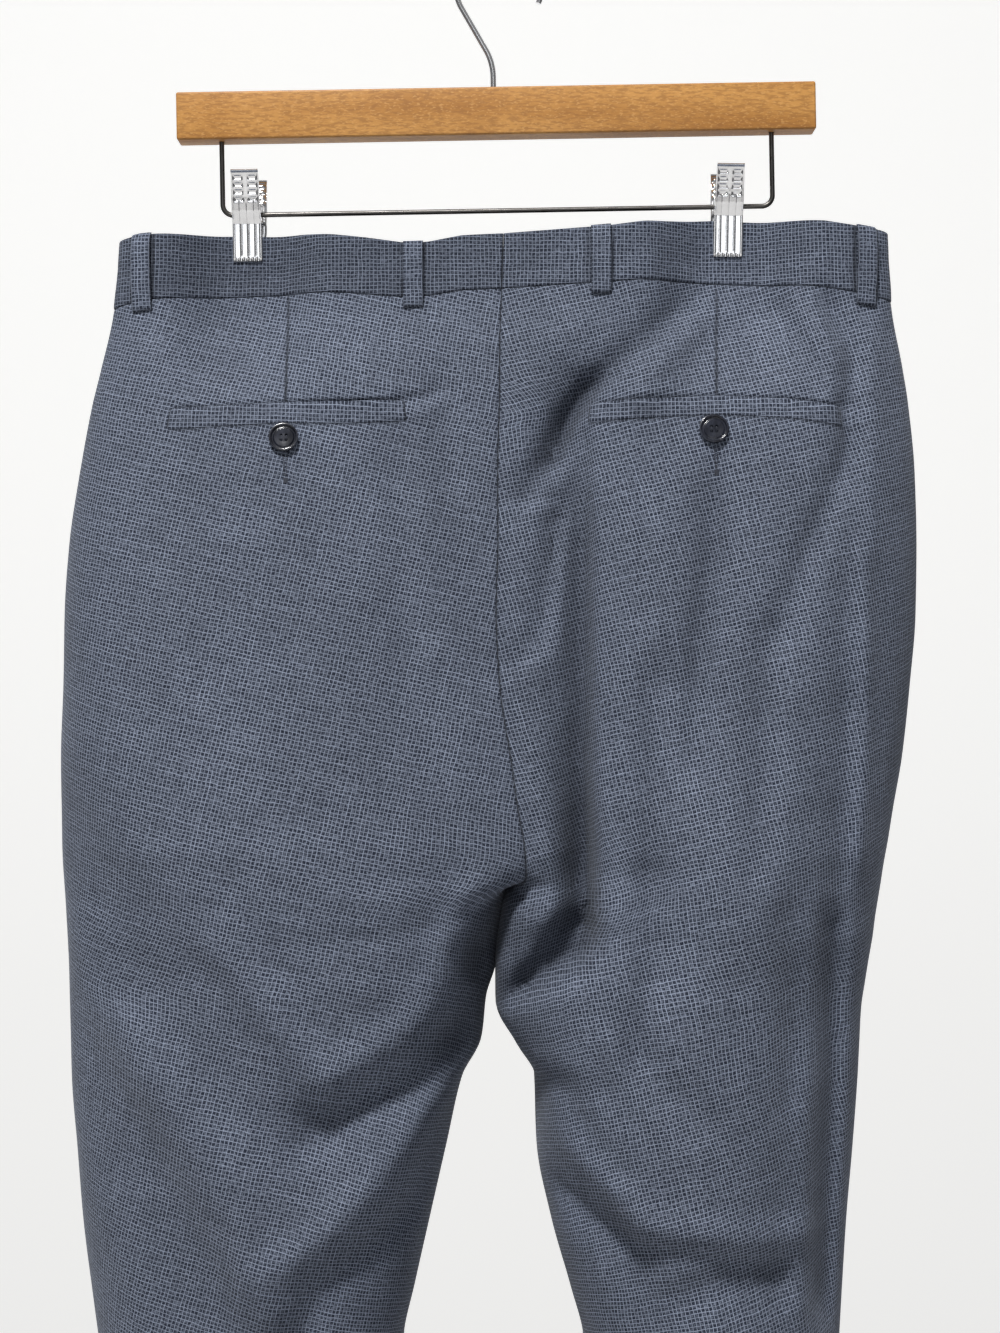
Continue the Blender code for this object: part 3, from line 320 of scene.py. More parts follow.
def monotone(knots: Grid, values: Grid, at: Grid) -> Grid:
    """Smooth values between the rows of a table, with no overshoot.

    Args:
        knots: The rows' places, rising.
        values: The value of each row.
        at: Where to read between them.

    Returns:
        One value for each place in at.
    """
    step = np.diff(knots)
    slope = np.diff(values) / step
    lean = np.zeros(len(knots))
    same = slope[:-1] * slope[1:] > 0
    inner = np.zeros(len(slope) - 1)
    inner[same] = 2 * slope[:-1][same] * slope[1:][same] / (slope[:-1][same] + slope[1:][same])
    lean[1:-1] = inner
    lean[0], lean[-1] = slope[0], slope[-1]
    i = np.clip(np.searchsorted(knots, at, side="right") - 1, 0, len(step) - 1)
    u = (at - knots[i]) / step[i]
    return (
        (1 + 2 * u) * (1 - u) ** 2 * values[i]
        + u * (1 - u) ** 2 * step[i] * lean[i]
        + u * u * (3 - 2 * u) * values[i + 1]
        - u * u * (1 - u) * step[i] * lean[i + 1]
    )


def read_table(table: tuple, at: Grid) -> Grid:
    """Values at these places, on straight lines between a table's (place, value) rows."""
    places, values = zip(*table)
    return np.interp(at, places, values)


@dataclass(frozen=True)
class WeltPocket:
    """A back pocket's welt and button, in millimetres.

    top is the welt's upper edge as (x, level), gape is (x, how far the mouth hangs open), and dart
    is the place along X of the dart above it, at the waistband and at the pocket.
    """

    side: Side
    top: tuple
    height: float
    button_x: float
    button_level: float
    gape: tuple
    dart: tuple

    @property
    def ends(self) -> tuple:
        """The welt's two ends along X."""
        return self.top[0][0], self.top[-1][0]

    def edge(self, x: Grid) -> Grid:
        """Level of the welt's upper edge, below the waist line, at these places along X."""
        return read_table(self.top, x)

    def mouth(self, x: Grid) -> Grid:
        """How far the pocket's mouth hangs open at these places, from 0 to 1."""
        return read_table(self.gape, x)

    def dart_at(self, level: Grid) -> Grid:
        """Where the dart above the pocket runs, along X, at these levels."""
        return np.interp(level, (BAND_HEIGHT, self.edge(self.button_x)), self.dart)


POCKETS = (
    WeltPocket(
        Side.LEFT, ((-177.5, 104.0), (-116.0, 100.8), (-80.0, 101.0), (-50.0, 99.3)),
        10.9, -114.5, 120.2,
        ((-178, 0.0), (-172, 0.4), (-140, 0.3), (-104, 0.45), (-92, 0.9), (-66, 1.0), (-50, 0.0)),
        (-116.4, -114.4),
    ),
    WeltPocket(
        Side.RIGHT,
        ((49.5, 101.0), (85.0, 98.8), (119.0, 97.3), (157.0, 99.0), (185.5, 102.5)),
        9.7, 115.5, 115.5,
        ((49, 0.0), (55, 0.45), (100, 0.4), (130, 0.55), (160, 0.7), (180, 0.5), (186, 0.0)),
        (121.6, 117.8),
    ),
)

# Each belt loop's face and its middle along X.
LOOPS = {
    "back_left": (Face.BACK, -46.5), "back_right": (Face.BACK, 56.5),
    "side_left": (Face.BACK, -196.0), "side_right": (Face.BACK, 202.5),
    "front_left": (Face.FRONT, -96.0), "front_right": (Face.FRONT, 84.0),
}


class Drape:
    """The hanging garment's outer surface, worked out from the section and fold tables."""

    # Steps to either side of a place, from which its normal is worked out.
    TURN_STEP = 0.0012
    DROP_STEP = 0.4
    # A clip presses the cloth flat up to the first of these distances from its middle and lets it
    # hang free from the second on, and its hold fades between two drops.
    CLIP_REACH = (11, 52)
    CLIP_FADE = (22, 120)
    # Drops over which the fine folds come free of a clip, and over which the slow swells rise.
    FINE_FOLDS_FREE = (42, 62)
    SWELLS_RISE = (60, 180)
    # A dart's groove and the soft ridge round it: depth or height, and reach.
    DART_GROOVE = (0.85, 0.75)
    DART_RIDGE = (0.35, 3.5)
    # A pocket's mouth: depth where it is shut, what is added where it gapes, level and reach.
    MOUTH = (0.7, 1.9, -0.8, 1.6)
    # Drops over which the thigh is fuller by the side seam, and how much.
    THIGH = (345, 400, 440, 640)
    THIGH_FULL = 0.2

    def section(self, drops: Grid, side: Side) -> dict:
        """The section table's columns at these drops, with one half's reach as out and in."""
        row = {
            name: monotone(SECTIONS[:, 0], SECTIONS[:, number], drops)
            for number, name in enumerate(SECTION_COLUMNS)
        }
        letter = side.word[0]
        return {**row, "out": row[f"out_{letter}"], "in": row[f"in_{letter}"]}

    def joined(self, turn: Grid, drop: Grid, start: float) -> Grid:
        """1 at the centre seams above the fork, falling to 0 at the turn start and below the fork."""
        return smooth_step(np.abs(turn), start, 1.0) * (1 - smooth_step(drop, *FORK_PARTS))

    def clip_hold(self, x: Grid, drop: Grid) -> Grid:
        """1 where a clip presses the cloth flat, 0 where it hangs free."""
        near = np.zeros(np.shape(x))
        for middle in (CLIP_LEFT_X, CLIP_RIGHT_X):
            near = np.maximum(near, 1 - smooth_step(np.abs(x - middle), *self.CLIP_REACH))
        return near * (1 - smooth_step(drop, *self.CLIP_FADE))

    def fold_height(self, face: Face, x: Grid, drop: Grid, hold: Grid) -> Grid:
        """How far the folds of one face stand out.

        Args:
            face: The back or the front.
            x: Places across, in millimetres.
            drop: Places down from the waist edge.
            hold: How far a clip presses each place flat.

        Returns:
            Heights in millimetres, negative in a valley.
        """
        total = np.zeros(np.shape(x))
        loose = 1 - hold * (1 - smooth_step(drop, *self.FINE_FOLDS_FREE))
        for number, (on_face, stands, reach_l, reach_r, line) in enumerate(LARGE_FOLDS + FINE_FOLDS):
            if on_face != face.value:
                continue
            large = number < len(LARGE_FOLDS)
            end_reach = min(reach_l, reach_r) * (1.0 if large else FINE_FOLD_FADE)
            heights = np.broadcast_to(stands, len(line))
            strength, height = np.zeros(np.shape(x)), np.zeros(np.shape(x))
            for i, ((x0, drop0), (x1, drop1)) in enumerate(zip(line, line[1:])):
                along = np.array((x1 - x0, drop1 - drop0), float)
                length = np.hypot(*along)
                along /= length
                from_start = (x - x0) * along[0] + (drop - drop0) * along[1]
                across = (x - x0) * along[1] - (drop - drop0) * along[0]
                on_line = np.clip(from_start, 0, length)
                reach = np.where(across > 0, reach_l, reach_r)
                near = np.exp(-(across / reach) ** 2 - ((from_start - on_line) / end_reach) ** 2)
                here = heights[i] + (heights[i + 1] - heights[i]) * on_line / length
                height = np.where(near > strength, here, height)
                strength = np.maximum(strength, near)
            total += height * strength * ((1 - hold) if large else loose)
        for height, across, down, phase in SWELLS:
            wave = np.sin(2 * np.pi * x / across + phase + 1.7 * np.sin(2 * np.pi * drop / down))
            total += height * wave * smooth_step(drop, *self.SWELLS_RISE)
        return total

    def pocket_relief(self, x: Grid, level: Grid) -> Grid:
        """Depth of the darts and of the pocket mouths behind the back's surface."""
        total = np.zeros(np.shape(x))
        shut, gaping, edge, reach = self.MOUTH
        (groove_depth, groove_reach), (ridge_height, ridge_reach) = self.DART_GROOVE, self.DART_RIDGE
        for pocket in POCKETS:
            low, high = pocket.ends
            below = level - pocket.edge(x)
            inside = window(x, low - 1, low + 3, high - 3, high + 1)
            total -= (shut + gaping * pocket.mouth(x)) * groove(below - edge, reach) * inside
            run = smooth_step(level, BAND_HEIGHT - 4, BAND_HEIGHT) * (1 - smooth_step(below, -3, 0))
            away = x - pocket.dart_at(level)
            dart = groove_depth * groove(away, groove_reach) - ridge_height * groove(away, ridge_reach)
            total -= dart * run
        return total

    def raw(self, side: Side, turn: Grid, drop: Grid) -> Grid:
        """Points of one half, before the two halves are matched along the centre seams.

        Args:
            side: The left or the right half.
            turn: -1 at the inner end at the back, 0 at the side seam, 1 at the inner end in front.
            drop: Distance below the waist edge at the side seam.

        Returns:
            Points in millimetres, with one more axis than turn has.
        """
        row = self.section(drop, side)
        t = np.abs(turn)
        face = np.where(turn < 0, -1.0, 1.0)
        back = face < 0
        out, inn = row["out"], row["in"]
        body = np.cos(np.pi * t / 2)
        whole = (1 + np.cos(np.pi * t)) / 2
        x = side.value * (inn + (out - inn) * (body + (whole - body) * row["leg"]))
        half_way = np.sin(np.pi * t / 2) ** row["blunt"]
        bend = np.clip(np.sin(np.pi * t), 0, 1)
        outer = 1 - self.THIGH_FULL * window(drop, *self.THIGH)
        swell = np.where(t > 0.5, bend ** row["inner"], bend ** outer)
        depth = np.where(back, row["seam_b"], row["seam_f"]) * half_way
        depth += np.where(back, row["belly_b"], row["belly_f"]) * swell
        depth += row["crease"] * np.exp(-np.abs(t - 0.5) / 0.05) * row["leg"]
        passing = read_table(LEG_PASS, drop) * smooth_step(t, 0.78, 1.0)
        end_drop = np.where(back, row["back_drop"], row["front_drop"])
        down = drop + (end_drop - drop) * t ** 6
        hold = self.clip_hold(x, down)
        depth += (CLIP_HALF_CLOTH * np.minimum(1, 1.25 * half_way) - depth) * hold
        free = smooth_step(t, 0.0, 0.22) * (1 - row["leg"] * smooth_step(t, 0.8, 1.0))
        seam_rest = 1 - 0.8 * (1 - row["leg"]) * smooth_step(t, 0.9, 1.0)
        lift_out = np.where(
            back, self.fold_height(Face.BACK, x, down, hold), self.fold_height(Face.FRONT, x, down, hold)
        )
        depth += lift_out * free * seam_rest
        wave = read_table(WAIST_EDGE, x)
        fade = 1 - smooth_step(down, 0, EDGE_WAVE_END)
        lift = BAND_LIFT * (1 - np.abs(x / out) ** 3) * smooth_step(down, 0, BAND_HEIGHT)
        lift *= 1 - smooth_step(down, BAND_HEIGHT, BAND_LIFT_END)
        sink = read_table(BAND_SINK, x) * (1 - smooth_step(down, 0, BAND_HEIGHT))
        z = WAIST_TOP - down + wave * fade + lift - sink
        depth += np.where(back, self.pocket_relief(x, WAIST_TOP - z), 0)
        return np.stack([x, face * depth - side.value * passing, z], axis=-1)

    def points(self, side: Side, turn: Grid, drop: Grid) -> Grid:
        """Points of one half, with the halves meeting along the centre seams.

        Args:
            side: The left or the right half.
            turn: Places round the half, from -1 to 1.
            drop: Places down it, of the same shape as turn.

        Returns:
            Points in millimetres, with one more axis than turn has.
        """
        turn, drop = np.broadcast_arrays(np.asarray(turn, float), np.asarray(drop, float))
        found = self.raw(side, turn, drop)
        near = self.joined(turn, drop, 0.9)
        close = near > 0
        if close.any():
            ends = np.where(turn[close] < 0, -1.0, 1.0)
            gap = self.raw(side.other, ends, drop[close]) - self.raw(side, ends, drop[close])
            found[close] += gap * (near[close] / 2)[:, None]
        return found

    def facing(self, side: Side, turn: Grid, drop: Grid) -> Grid:
        """Unit normals that point out of the garment, shared by both halves at the centre seams."""
        turn, drop = np.broadcast_arrays(np.asarray(turn, float), np.asarray(drop, float))
        normal = self.own_facing(side, turn, drop)
        near = self.joined(turn, drop, 0.97)
        close = near > 0
        if close.any():
            ends = np.where(turn[close] < 0, -1.0, 1.0)
            mine = self.own_facing(side, ends, drop[close])
            both = mine + self.own_facing(side.other, ends, drop[close])
            both /= np.linalg.norm(both, axis=-1, keepdims=True)
            normal[close] += (both - mine) * near[close][:, None]
            normal /= np.linalg.norm(normal, axis=-1, keepdims=True)
        return normal

    def skin(self, side: Side, turn: Grid, drop: Grid) -> tuple:
        """Points of one half and the unit normals that point out of the garment there."""
        return self.points(side, turn, drop), self.facing(side, turn, drop)

    def own_facing(self, side: Side, turn: Grid, drop: Grid) -> Grid:
        """Unit normals that point out of one half, at the same places as points gives."""
        low, high = np.maximum(turn - self.TURN_STEP, -1), np.minimum(turn + self.TURN_STEP, 1)
        across = self.points(side, high, drop) - self.points(side, low, drop)
        top = np.maximum(drop - self.DROP_STEP, 0)
        end = np.minimum(drop + self.DROP_STEP, HEM_DROP)
        down = self.points(side, turn, end) - self.points(side, turn, top)
        normal = np.cross(down, across) * side.value
        return normal / np.linalg.norm(normal, axis=-1, keepdims=True)

    def turn_at(self, face: Face, side: Side, x: Grid, drop: Grid) -> Grid:
        """The turn at which one face of the seat reaches these places along X.

        Args:
            face: The back or the front.
            side: The half, which says which end of X it covers.
            x: Places across, in millimetres.
            drop: Drops above the legs, of the same shape.

        Returns:
            Turns, negative on the back.
        """
        row = self.section(drop, side)
        share = np.clip((side.value * x - row["in"]) / (row["out"] - row["in"]), -1, 1)
        return face.value * 2 / np.pi * np.arccos(share)

    def locate(self, face: Face, side: Side, x: Grid, level: Grid) -> tuple:
        """Places on one face of the seat, by X and the level below the waist line.

        Args:
            face: The back or the front.
            side: The half.
            x: Places across, in millimetres.
            level: Distances straight down from the waist line.

        Returns:
            Their turns and drops.
        """
        x, level = np.broadcast_arrays(np.asarray(x, float), np.asarray(level, float))
        drop = level.copy()
        for _ in range(10):
            turn = self.turn_at(face, side, x, drop)
            drop = drop + self.points(side, turn, drop)[..., 2] - (WAIST_TOP - level)
        return self.turn_at(face, side, x, drop), drop


DRAPE = Drape()


# ------------------------------------------------------------------ finishes


class Recipe:
    """A material's node tree, with short ways to add nodes and join them."""

    def __init__(self, name: str) -> None:
        """Start an empty tree with its shader and output."""
        self.material = bpy.data.materials.new(name)
        self.material.use_nodes = True
        self.tree = self.material.node_tree
        self.shader = self.tree.nodes["Principled BSDF"]

    def join(self, value: object, socket: Socket) -> None:
        """Set a socket to a number or colour, or link another node's output to it."""
        if isinstance(value, Socket):
            self.tree.links.new(value, socket)
        elif hasattr(socket.default_value, "__len__") and not hasattr(value, "__len__"):
            socket.default_value = [value] * len(socket.default_value)
        elif hasattr(value, "__len__") and len(value) < len(socket.default_value):
            socket.default_value = (*value, 1)
        else:
            socket.default_value = value

    def add(self, kind: str, sockets: dict, **settings: object) -> bpy.types.Node:
        """Add a node.

        Args:
            kind: The node's type, without its ShaderNode prefix.
            sockets: What goes into its inputs, by name or number.
            **settings: The node's own properties.

        Returns:
            The node.
        """
        node = self.tree.nodes.new("ShaderNode" + kind)
        for name, value in settings.items():
            setattr(node, name, value)
        for name, value in sockets.items():
            self.join(value, node.inputs[name])
        return node

    def math(self, operation: str, first: object, second: object = 0.0) -> Socket:
        """The output of a Math node."""
        return self.add("Math", {0: first, 1: second}, operation=operation).outputs[0]

    def spread(
        self, value: object, low: float, high: float, to_low: float = 0.0, to_high: float = 1.0
    ) -> Socket:
        """A smooth Map Range from low..high to to_low..to_high."""
        sockets = {"Value": value, "From Min": low, "From Max": high, "To Min": to_low, "To Max": to_high}
        return self.add("MapRange", sockets, interpolation_type="SMOOTHSTEP").outputs[0]

    def blend(self, share: object, first: object, second: object, way: str = "MIX") -> Socket:
        """The colour output of a Mix node."""
        node = self.add("Mix", {}, data_type="RGBA", blend_type=way)
        for name, value in (("Factor_Float", share), ("A_Color", first), ("B_Color", second)):
            socket = next(s for s in node.inputs if s.identifier == name)
            self.join(value, socket)
        return next(s for s in node.outputs if s.identifier == "Result_Color")

    def noise(self, place: Socket, scale: float, detail: float = 2.0, stretch: tuple = (1, 1, 1)) -> Socket:
        """A Noise texture's value, stretched along the axes."""
        mapped = self.add("Mapping", {"Vector": place, "Scale": stretch}).outputs[0]
        sockets = {"Vector": mapped, "Scale": scale, "Detail": detail}
        return self.add("TexNoise", sockets).outputs[0]

    def object_place(self) -> Socket:
        """The Object coordinates."""
        return self.add("TexCoord", {}).outputs["Object"]

    def finish(self, **inputs: object) -> Material:
        """Set the shader's inputs, by their names with underscores for spaces, and give the material."""
        for name, value in inputs.items():
            self.join(value, self.shader.inputs[name.replace("_", " ")])
        return self.material

    def bump(self, height: object, distance: float, strength: float = 1.0) -> Socket:
        """A Bump node's normal, with distance in metres."""
        sockets = {"Height": height, "Distance": distance, "Strength": strength}
        return self.add("Bump", sockets).outputs[0]


@dataclass(frozen=True)
class CheckedSuiting:
    """Worsted suiting: a grid of pale yarns with a dark square in each of its cells.

    cell is where a square's soft edge lies in its repeat, wander and jitter are how far the yarns
    stray in long and in short waves, and yarn_tone, dark_tone and fibre_tone are how far each varies.
    """

    name: str = "charcoal_check_suiting"
    pale: tuple = (0.196, 0.226, 0.295)
    dark: tuple = (0.010, 0.014, 0.027)
    seam_shadow: tuple = (0.004, 0.005, 0.009)
    cell: tuple = (0.05, 0.12)
    wander: float = 0.8
    jitter: float = 0.15
    yarn_tone: tuple = (0.8, 1.36)
    dark_tone: tuple = (0.55, 1.0)
    fibre_tone: tuple = (0.75, 1.3)

    def make(self) -> Material:
        """Build the material; the check follows the pieces' own weave map."""
        recipe = Recipe(self.name)
        weave = recipe.add("UVMap", {}, uv_map="weave").outputs[0]
        parts = recipe.add("SeparateXYZ", {"Vector": weave}).outputs
        waves = [
            recipe.math("MULTIPLY", recipe.math("SUBTRACT", recipe.noise(weave, scale, detail), 0.5), reach)
            for scale, detail, reach in ((0.16, 2.0, self.wander), (1.9, 1.0, self.jitter))
        ]
        shift = recipe.math("ADD", *waves)
        cells, yarns = [], []
        for number, stretch in ((0, (1.0, 0.05, 1.0)), (1, (0.05, 1.0, 1.0))):
            swing = recipe.math("PINGPONG", recipe.math("ADD", parts[number], shift), 0.5)
            cells.append(recipe.spread(swing, *self.cell))
            slubs = recipe.noise(weave, 1.1, 3.0, stretch)
            yarns.append(recipe.spread(slubs, 0.28, 0.74, *self.yarn_tone))
        dark = recipe.math("MULTIPLY", cells[0], cells[1])
        worn = recipe.spread(recipe.noise(weave, 1.3, 2.0), 0.3, 0.6, *self.dark_tone)
        depth = recipe.math("MULTIPLY", dark, worn)
        light = recipe.math("ADD", recipe.math("MULTIPLY", yarns[1], cells[0]),
                            recipe.math("MULTIPLY", yarns[0], recipe.math("SUBTRACT", 1.0, cells[0])))
        pale = recipe.blend(1.0, self.pale, light, "MULTIPLY")
        colour = recipe.blend(depth, pale, self.dark)
        fibre = recipe.noise(weave, 7.0, 3.0)
        colour = recipe.blend(1.0, colour, recipe.spread(fibre, 0.25, 0.75, *self.fibre_tone), "MULTIPLY")
        cloud = recipe.noise(recipe.object_place(), 16.0, 3.0)
        colour = recipe.blend(1.0, colour, recipe.spread(cloud, 0.3, 0.7, 0.93, 1.06), "MULTIPLY")
        # Painted shade: the shade attribute darkens the colour towards the painted shadow colour, for shadows
        # in seams, pocket mouths, fold valleys, beside the belt loops and over the waistband.
        shade = recipe.add("Attribute", {}, attribute_name="shade").outputs["Fac"]
        colour = recipe.blend(recipe.math("MULTIPLY", shade, 0.9), colour, self.seam_shadow)
        height = recipe.math("SUBTRACT", recipe.math("MULTIPLY", fibre, 0.5), dark)
        return recipe.finish(
            Base_Color=colour,
            Roughness=recipe.spread(fibre, 0.2, 0.8, 0.76, 0.9),
            Normal=recipe.bump(height, 0.0001),
            Sheen_Weight=0.1,
            Sheen_Roughness=0.5,
            Sheen_Tint=(0.75, 0.8, 0.9),
            Specular_IOR_Level=0.22,
        )


@dataclass(frozen=True)
class VarnishedBeech:
    """Varnished beech, with its streaks and short flecks along X and a soft figure across them."""

    name: str = "varnished_beech"
    pale: tuple = (0.53, 0.264, 0.072)
    deep: tuple = (0.36, 0.155, 0.033)
    fibre: tuple = (0.25, 0.105, 0.03)
    fleck: tuple = (0.64, 0.36, 0.125)

    def make(self) -> Material:
        """Build the material on Object coordinates."""
        recipe = Recipe(self.name)
        place = recipe.object_place()
        bands = recipe.noise(place, 46.0, 4.0, (0.12, 1.0, 1.0))
        figure = recipe.noise(place, 24.0, 2.0, (1.0, 0.2, 0.2))
        fibres = recipe.noise(place, 760.0, 2.0, (0.22, 1.0, 1.0))
        flecks = recipe.noise(place, 1150.0, 1.0, (0.4, 1.0, 1.0))
        colour = recipe.blend(recipe.spread(bands, 0.35, 0.66), self.pale, self.deep)
        colour = recipe.blend(recipe.spread(figure, 0.45, 0.68, 0.0, 0.4), colour, self.deep)
        colour = recipe.blend(recipe.spread(fibres, 0.42, 0.62, 0.0, 0.5), colour, self.fibre)
        colour = recipe.blend(recipe.spread(flecks, 0.55, 0.7, 0.0, 0.45), colour, self.fleck)
        height = recipe.math("SUBTRACT", flecks, recipe.math("MULTIPLY", fibres, 0.6))
        return recipe.finish(
            Base_Color=colour,
            Roughness=recipe.spread(bands, 0.2, 0.8, 0.42, 0.55),
            Normal=recipe.bump(height, 0.00005, 0.6),
            Specular_IOR_Level=0.3,
            Coat_Weight=0.08,
            Coat_Roughness=0.3,
        )


@dataclass(frozen=True)
class PlatedMetal:
    """Bright plating or dark drawn wire, with faint wear."""

    name: str
    colour: tuple
    roughness: float
    wear: float
    metallic: float = 1.0

    def make(self) -> Material:
        """Build the material on Object coordinates."""
        recipe = Recipe(self.name)
        place = recipe.object_place()
        smears = recipe.noise(place, 160.0, 4.0)
        marks = recipe.spread(recipe.noise(place, 900.0, 2.0), 0.62, 0.75)
        colour = recipe.blend(
            recipe.math("MULTIPLY", recipe.spread(smears, 0.35, 0.75), 0.25),
            self.colour, tuple(0.62 * c for c in self.colour),
        )
        return recipe.finish(
            Base_Color=colour,
            Metallic=self.metallic,
            Roughness=recipe.spread(smears, 0.3, 0.75, self.roughness, self.roughness + self.wear),
            Normal=recipe.bump(marks, 0.00001, 0.3),
        )


@dataclass(frozen=True)
class DarkHorn:
    """Polished dark horn with soft streaks."""

    name: str = "dark_polished_horn"
    deep: tuple = (0.005, 0.006, 0.011)
    streak: tuple = (0.02, 0.023, 0.036)

    def make(self) -> Material:
        """Build the material on Object coordinates."""
        recipe = Recipe(self.name)
        place = recipe.object_place()
        streak = recipe.noise(place, 190.0, 3.0, (1.0, 1.0, 0.35))
        colour = recipe.blend(recipe.spread(streak, 0.35, 0.7), self.deep, self.streak)
        return recipe.finish(
            Base_Color=colour,
            Roughness=recipe.spread(streak, 0.2, 0.8, 0.16, 0.28),
            Normal=recipe.bump(recipe.noise(place, 2400.0), 0.000008, 0.4),
            Specular_IOR_Level=0.3,
            Coat_Weight=0.8,
            Coat_Roughness=0.06,
        )


@dataclass(frozen=True)
class SpunThread:
    """Spun sewing thread with its ply."""

    name: str
    colour: tuple

    def make(self) -> Material:
        """Build the material on Object coordinates."""
        recipe = Recipe(self.name)
        place = recipe.object_place()
        ply = recipe.noise(place, 3200.0, 2.0, (1.0, 1.0, 0.6))
        pale = tuple(min(1.0, 1.9 * c + 0.01) for c in self.colour)
        return recipe.finish(
            Base_Color=recipe.blend(recipe.spread(ply, 0.3, 0.7), self.colour, pale),
            Roughness=0.7,
            Normal=recipe.bump(ply, 0.00006, 0.7),
            Sheen_Weight=0.15,
        )


@dataclass(frozen=True)
class StudioPaper:
    """Plain pale paper of the studio."""

    name: str
    colour: tuple
    glow: float = 0.0

    def make(self) -> Material:
        """Build the plain material of the studio floor or wall."""
        recipe = Recipe(self.name)
        grain = recipe.noise(recipe.object_place(), 3.0)
        colour = recipe.blend(recipe.spread(grain, 0.2, 0.8, 0.0, 0.02), self.colour, (0.7, 0.7, 0.7))
        return recipe.finish(
            Base_Color=colour, Roughness=0.9, Emission_Color=(*self.colour, 1), Emission_Strength=self.glow
        )


class Finishes:
    """Every finish of the object, made once."""

    def __init__(self) -> None:
        """Make the materials."""
        self.suiting = CheckedSuiting().make()
        self.timber = VarnishedBeech().make()
        self.chrome = PlatedMetal("bright_chrome_plate", (0.84, 0.84, 0.85), 0.08, 0.1, 0.92).make()
        self.steel = PlatedMetal("dark_drawn_wire", (0.10, 0.095, 0.09), 0.26, 0.16).make()
        self.zip = PlatedMetal("dark_zip_teeth", (0.16, 0.16, 0.17), 0.35, 0.2).make()
        self.horn = DarkHorn().make()
        self.thread = SpunThread("navy_sewing_thread", (0.018, 0.022, 0.036)).make()


# ------------------------------------------------------------------ cloth pieces


def level_out(values: Grid, reach: int) -> Grid:
    """Average a grid of values down its rows.

    Args:
        values: One row of values for each row of the grid.
        reach: How many rows each way the average takes in.

    Returns:
        As many rows, evened out.
    """
    span = 2 * reach + 1
    padded = np.pad(values, ((reach + 1, reach), (0, 0)), mode="edge")
    total = np.cumsum(padded, axis=0)
    return (total[span:] - total[:-span]) / span


def weave_map(points: Grid, middle_x: float, grain: float, columns: slice = slice(None)) -> Grid:
    """Where each point of a grid lay on the flat cloth, in repeats of the check.

    Args:
        points: Grid of points in millimetres, rows going down the garment.
        middle_x: The place along X from which the yarns are counted.
        grain: Turn of the yarns from upright, in radians, clockwise from behind.
        columns: The columns among which that place is looked for.

    Returns:
        Two numbers for each point.
    """
    run = level_out(np.linalg.norm(np.diff(points[..., :2], axis=1), axis=-1), WEAVE_EVEN_ROWS)
    along = np.concatenate([np.zeros((len(points), 1)), np.cumsum(run, axis=1)], axis=1)
    first = columns.indices(points.shape[1])[0]
    x = points[0, :, 0]
    anchor = first + int(np.argmin(np.abs(x[columns] - middle_x)))
    rising = 1 if x[min(anchor + 1, len(x) - 1)] >= x[max(anchor - 1, 0)] else -1
    u = rising * (along - along[:, [anchor]]) + points[:, [anchor], 0]
    v = points[..., 2] - WAIST_TOP
    turned = u * math.cos(grain) - v * math.sin(grain), v * math.cos(grain) + u * math.sin(grain)
    return np.stack(turned, axis=-1) / WEAVE_REPEAT


def put(name: str, data: bpy.types.ID) -> Piece:
    """Put new data into the scene as an object."""
    piece = bpy.data.objects.new(name, data)
    bpy.context.scene.collection.objects.link(piece)
    return piece


def shell(
    name: str, outer: Grid, inner: Grid, weave: Grid, finish: Material, shade: Grid, out: Grid
) -> Piece:
    """A closed thin wall of cloth between two grids of points.

    Args:
        name: The piece's name.
        outer: Points of the outer skin, in millimetres, as rows by columns.
        inner: Points of the inner skin.
        weave: The flat cloth's map of both skins, in repeats.
        finish: The material.
        shade: How much painted shade lies on each point, from 0 to 1.
        out: The outward normals, by which the faces are turned.

    Returns:
        The piece.
    """
    rows, columns = outer.shape[:2]
    count = rows * columns
    index = np.arange(count).reshape(rows, columns)
    skin = np.stack([index[:-1, :-1], index[1:, :-1], index[1:, 1:], index[:-1, 1:]], -1).reshape(-1, 4)
    ring = np.concatenate([index[0, :], index[1:, -1], index[-1, -2::-1], index[-2:0:-1, 0]])
    following = np.roll(ring, -1)
    rim = np.stack([ring, following, following + count, ring + count], -1)
    faces = np.concatenate([skin, skin[:, ::-1] + count, rim])
    i, j = rows // 2, columns // 2
    across, down = outer[i, j + 1] - outer[i, j], outer[i + 1, j] - outer[i, j]
    if np.cross(down, across) @ out[i, j] < 0:
        faces = faces[:, ::-1]
    mesh = bpy.data.meshes.new(name)
    corners = np.concatenate([outer.reshape(-1, 3), inner.reshape(-1, 3)]) * MM
    mesh.from_pydata(corners.tolist(), [], faces.tolist())
    layer = mesh.uv_layers.new(name="weave")
    loops = np.empty(len(mesh.loops), int)
    mesh.loops.foreach_get("vertex_index", loops)
    layer.data.foreach_set("uv", weave.reshape(-1, 2)[loops % count].ravel())
    tone = mesh.attributes.new("shade", "FLOAT", "POINT")
    tone.data.foreach_set("value", np.tile(shade.reshape(-1), 2))
    mesh.shade_smooth()
    mesh.set_sharp_from_angle(angle=math.radians(55))
    mesh.materials.append(finish)
    mesh.update()
    return put(name, mesh)


def report(piece: Piece) -> None:
    """Log a finished piece and its size."""
    faces = sum(len(face.vertices) - 2 for face in piece.data.polygons)
    LOG.info("%s: %d triangles", piece.name, faces)


def declare_cloth(piece: Piece, node: str) -> None:
    """Ride a sheet of cloth on the body in its node's place.

    Args:
        piece: The sheet.
        node: The solid that it stands for.
    """
    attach(piece, BODY)
    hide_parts(node)
    report(piece)


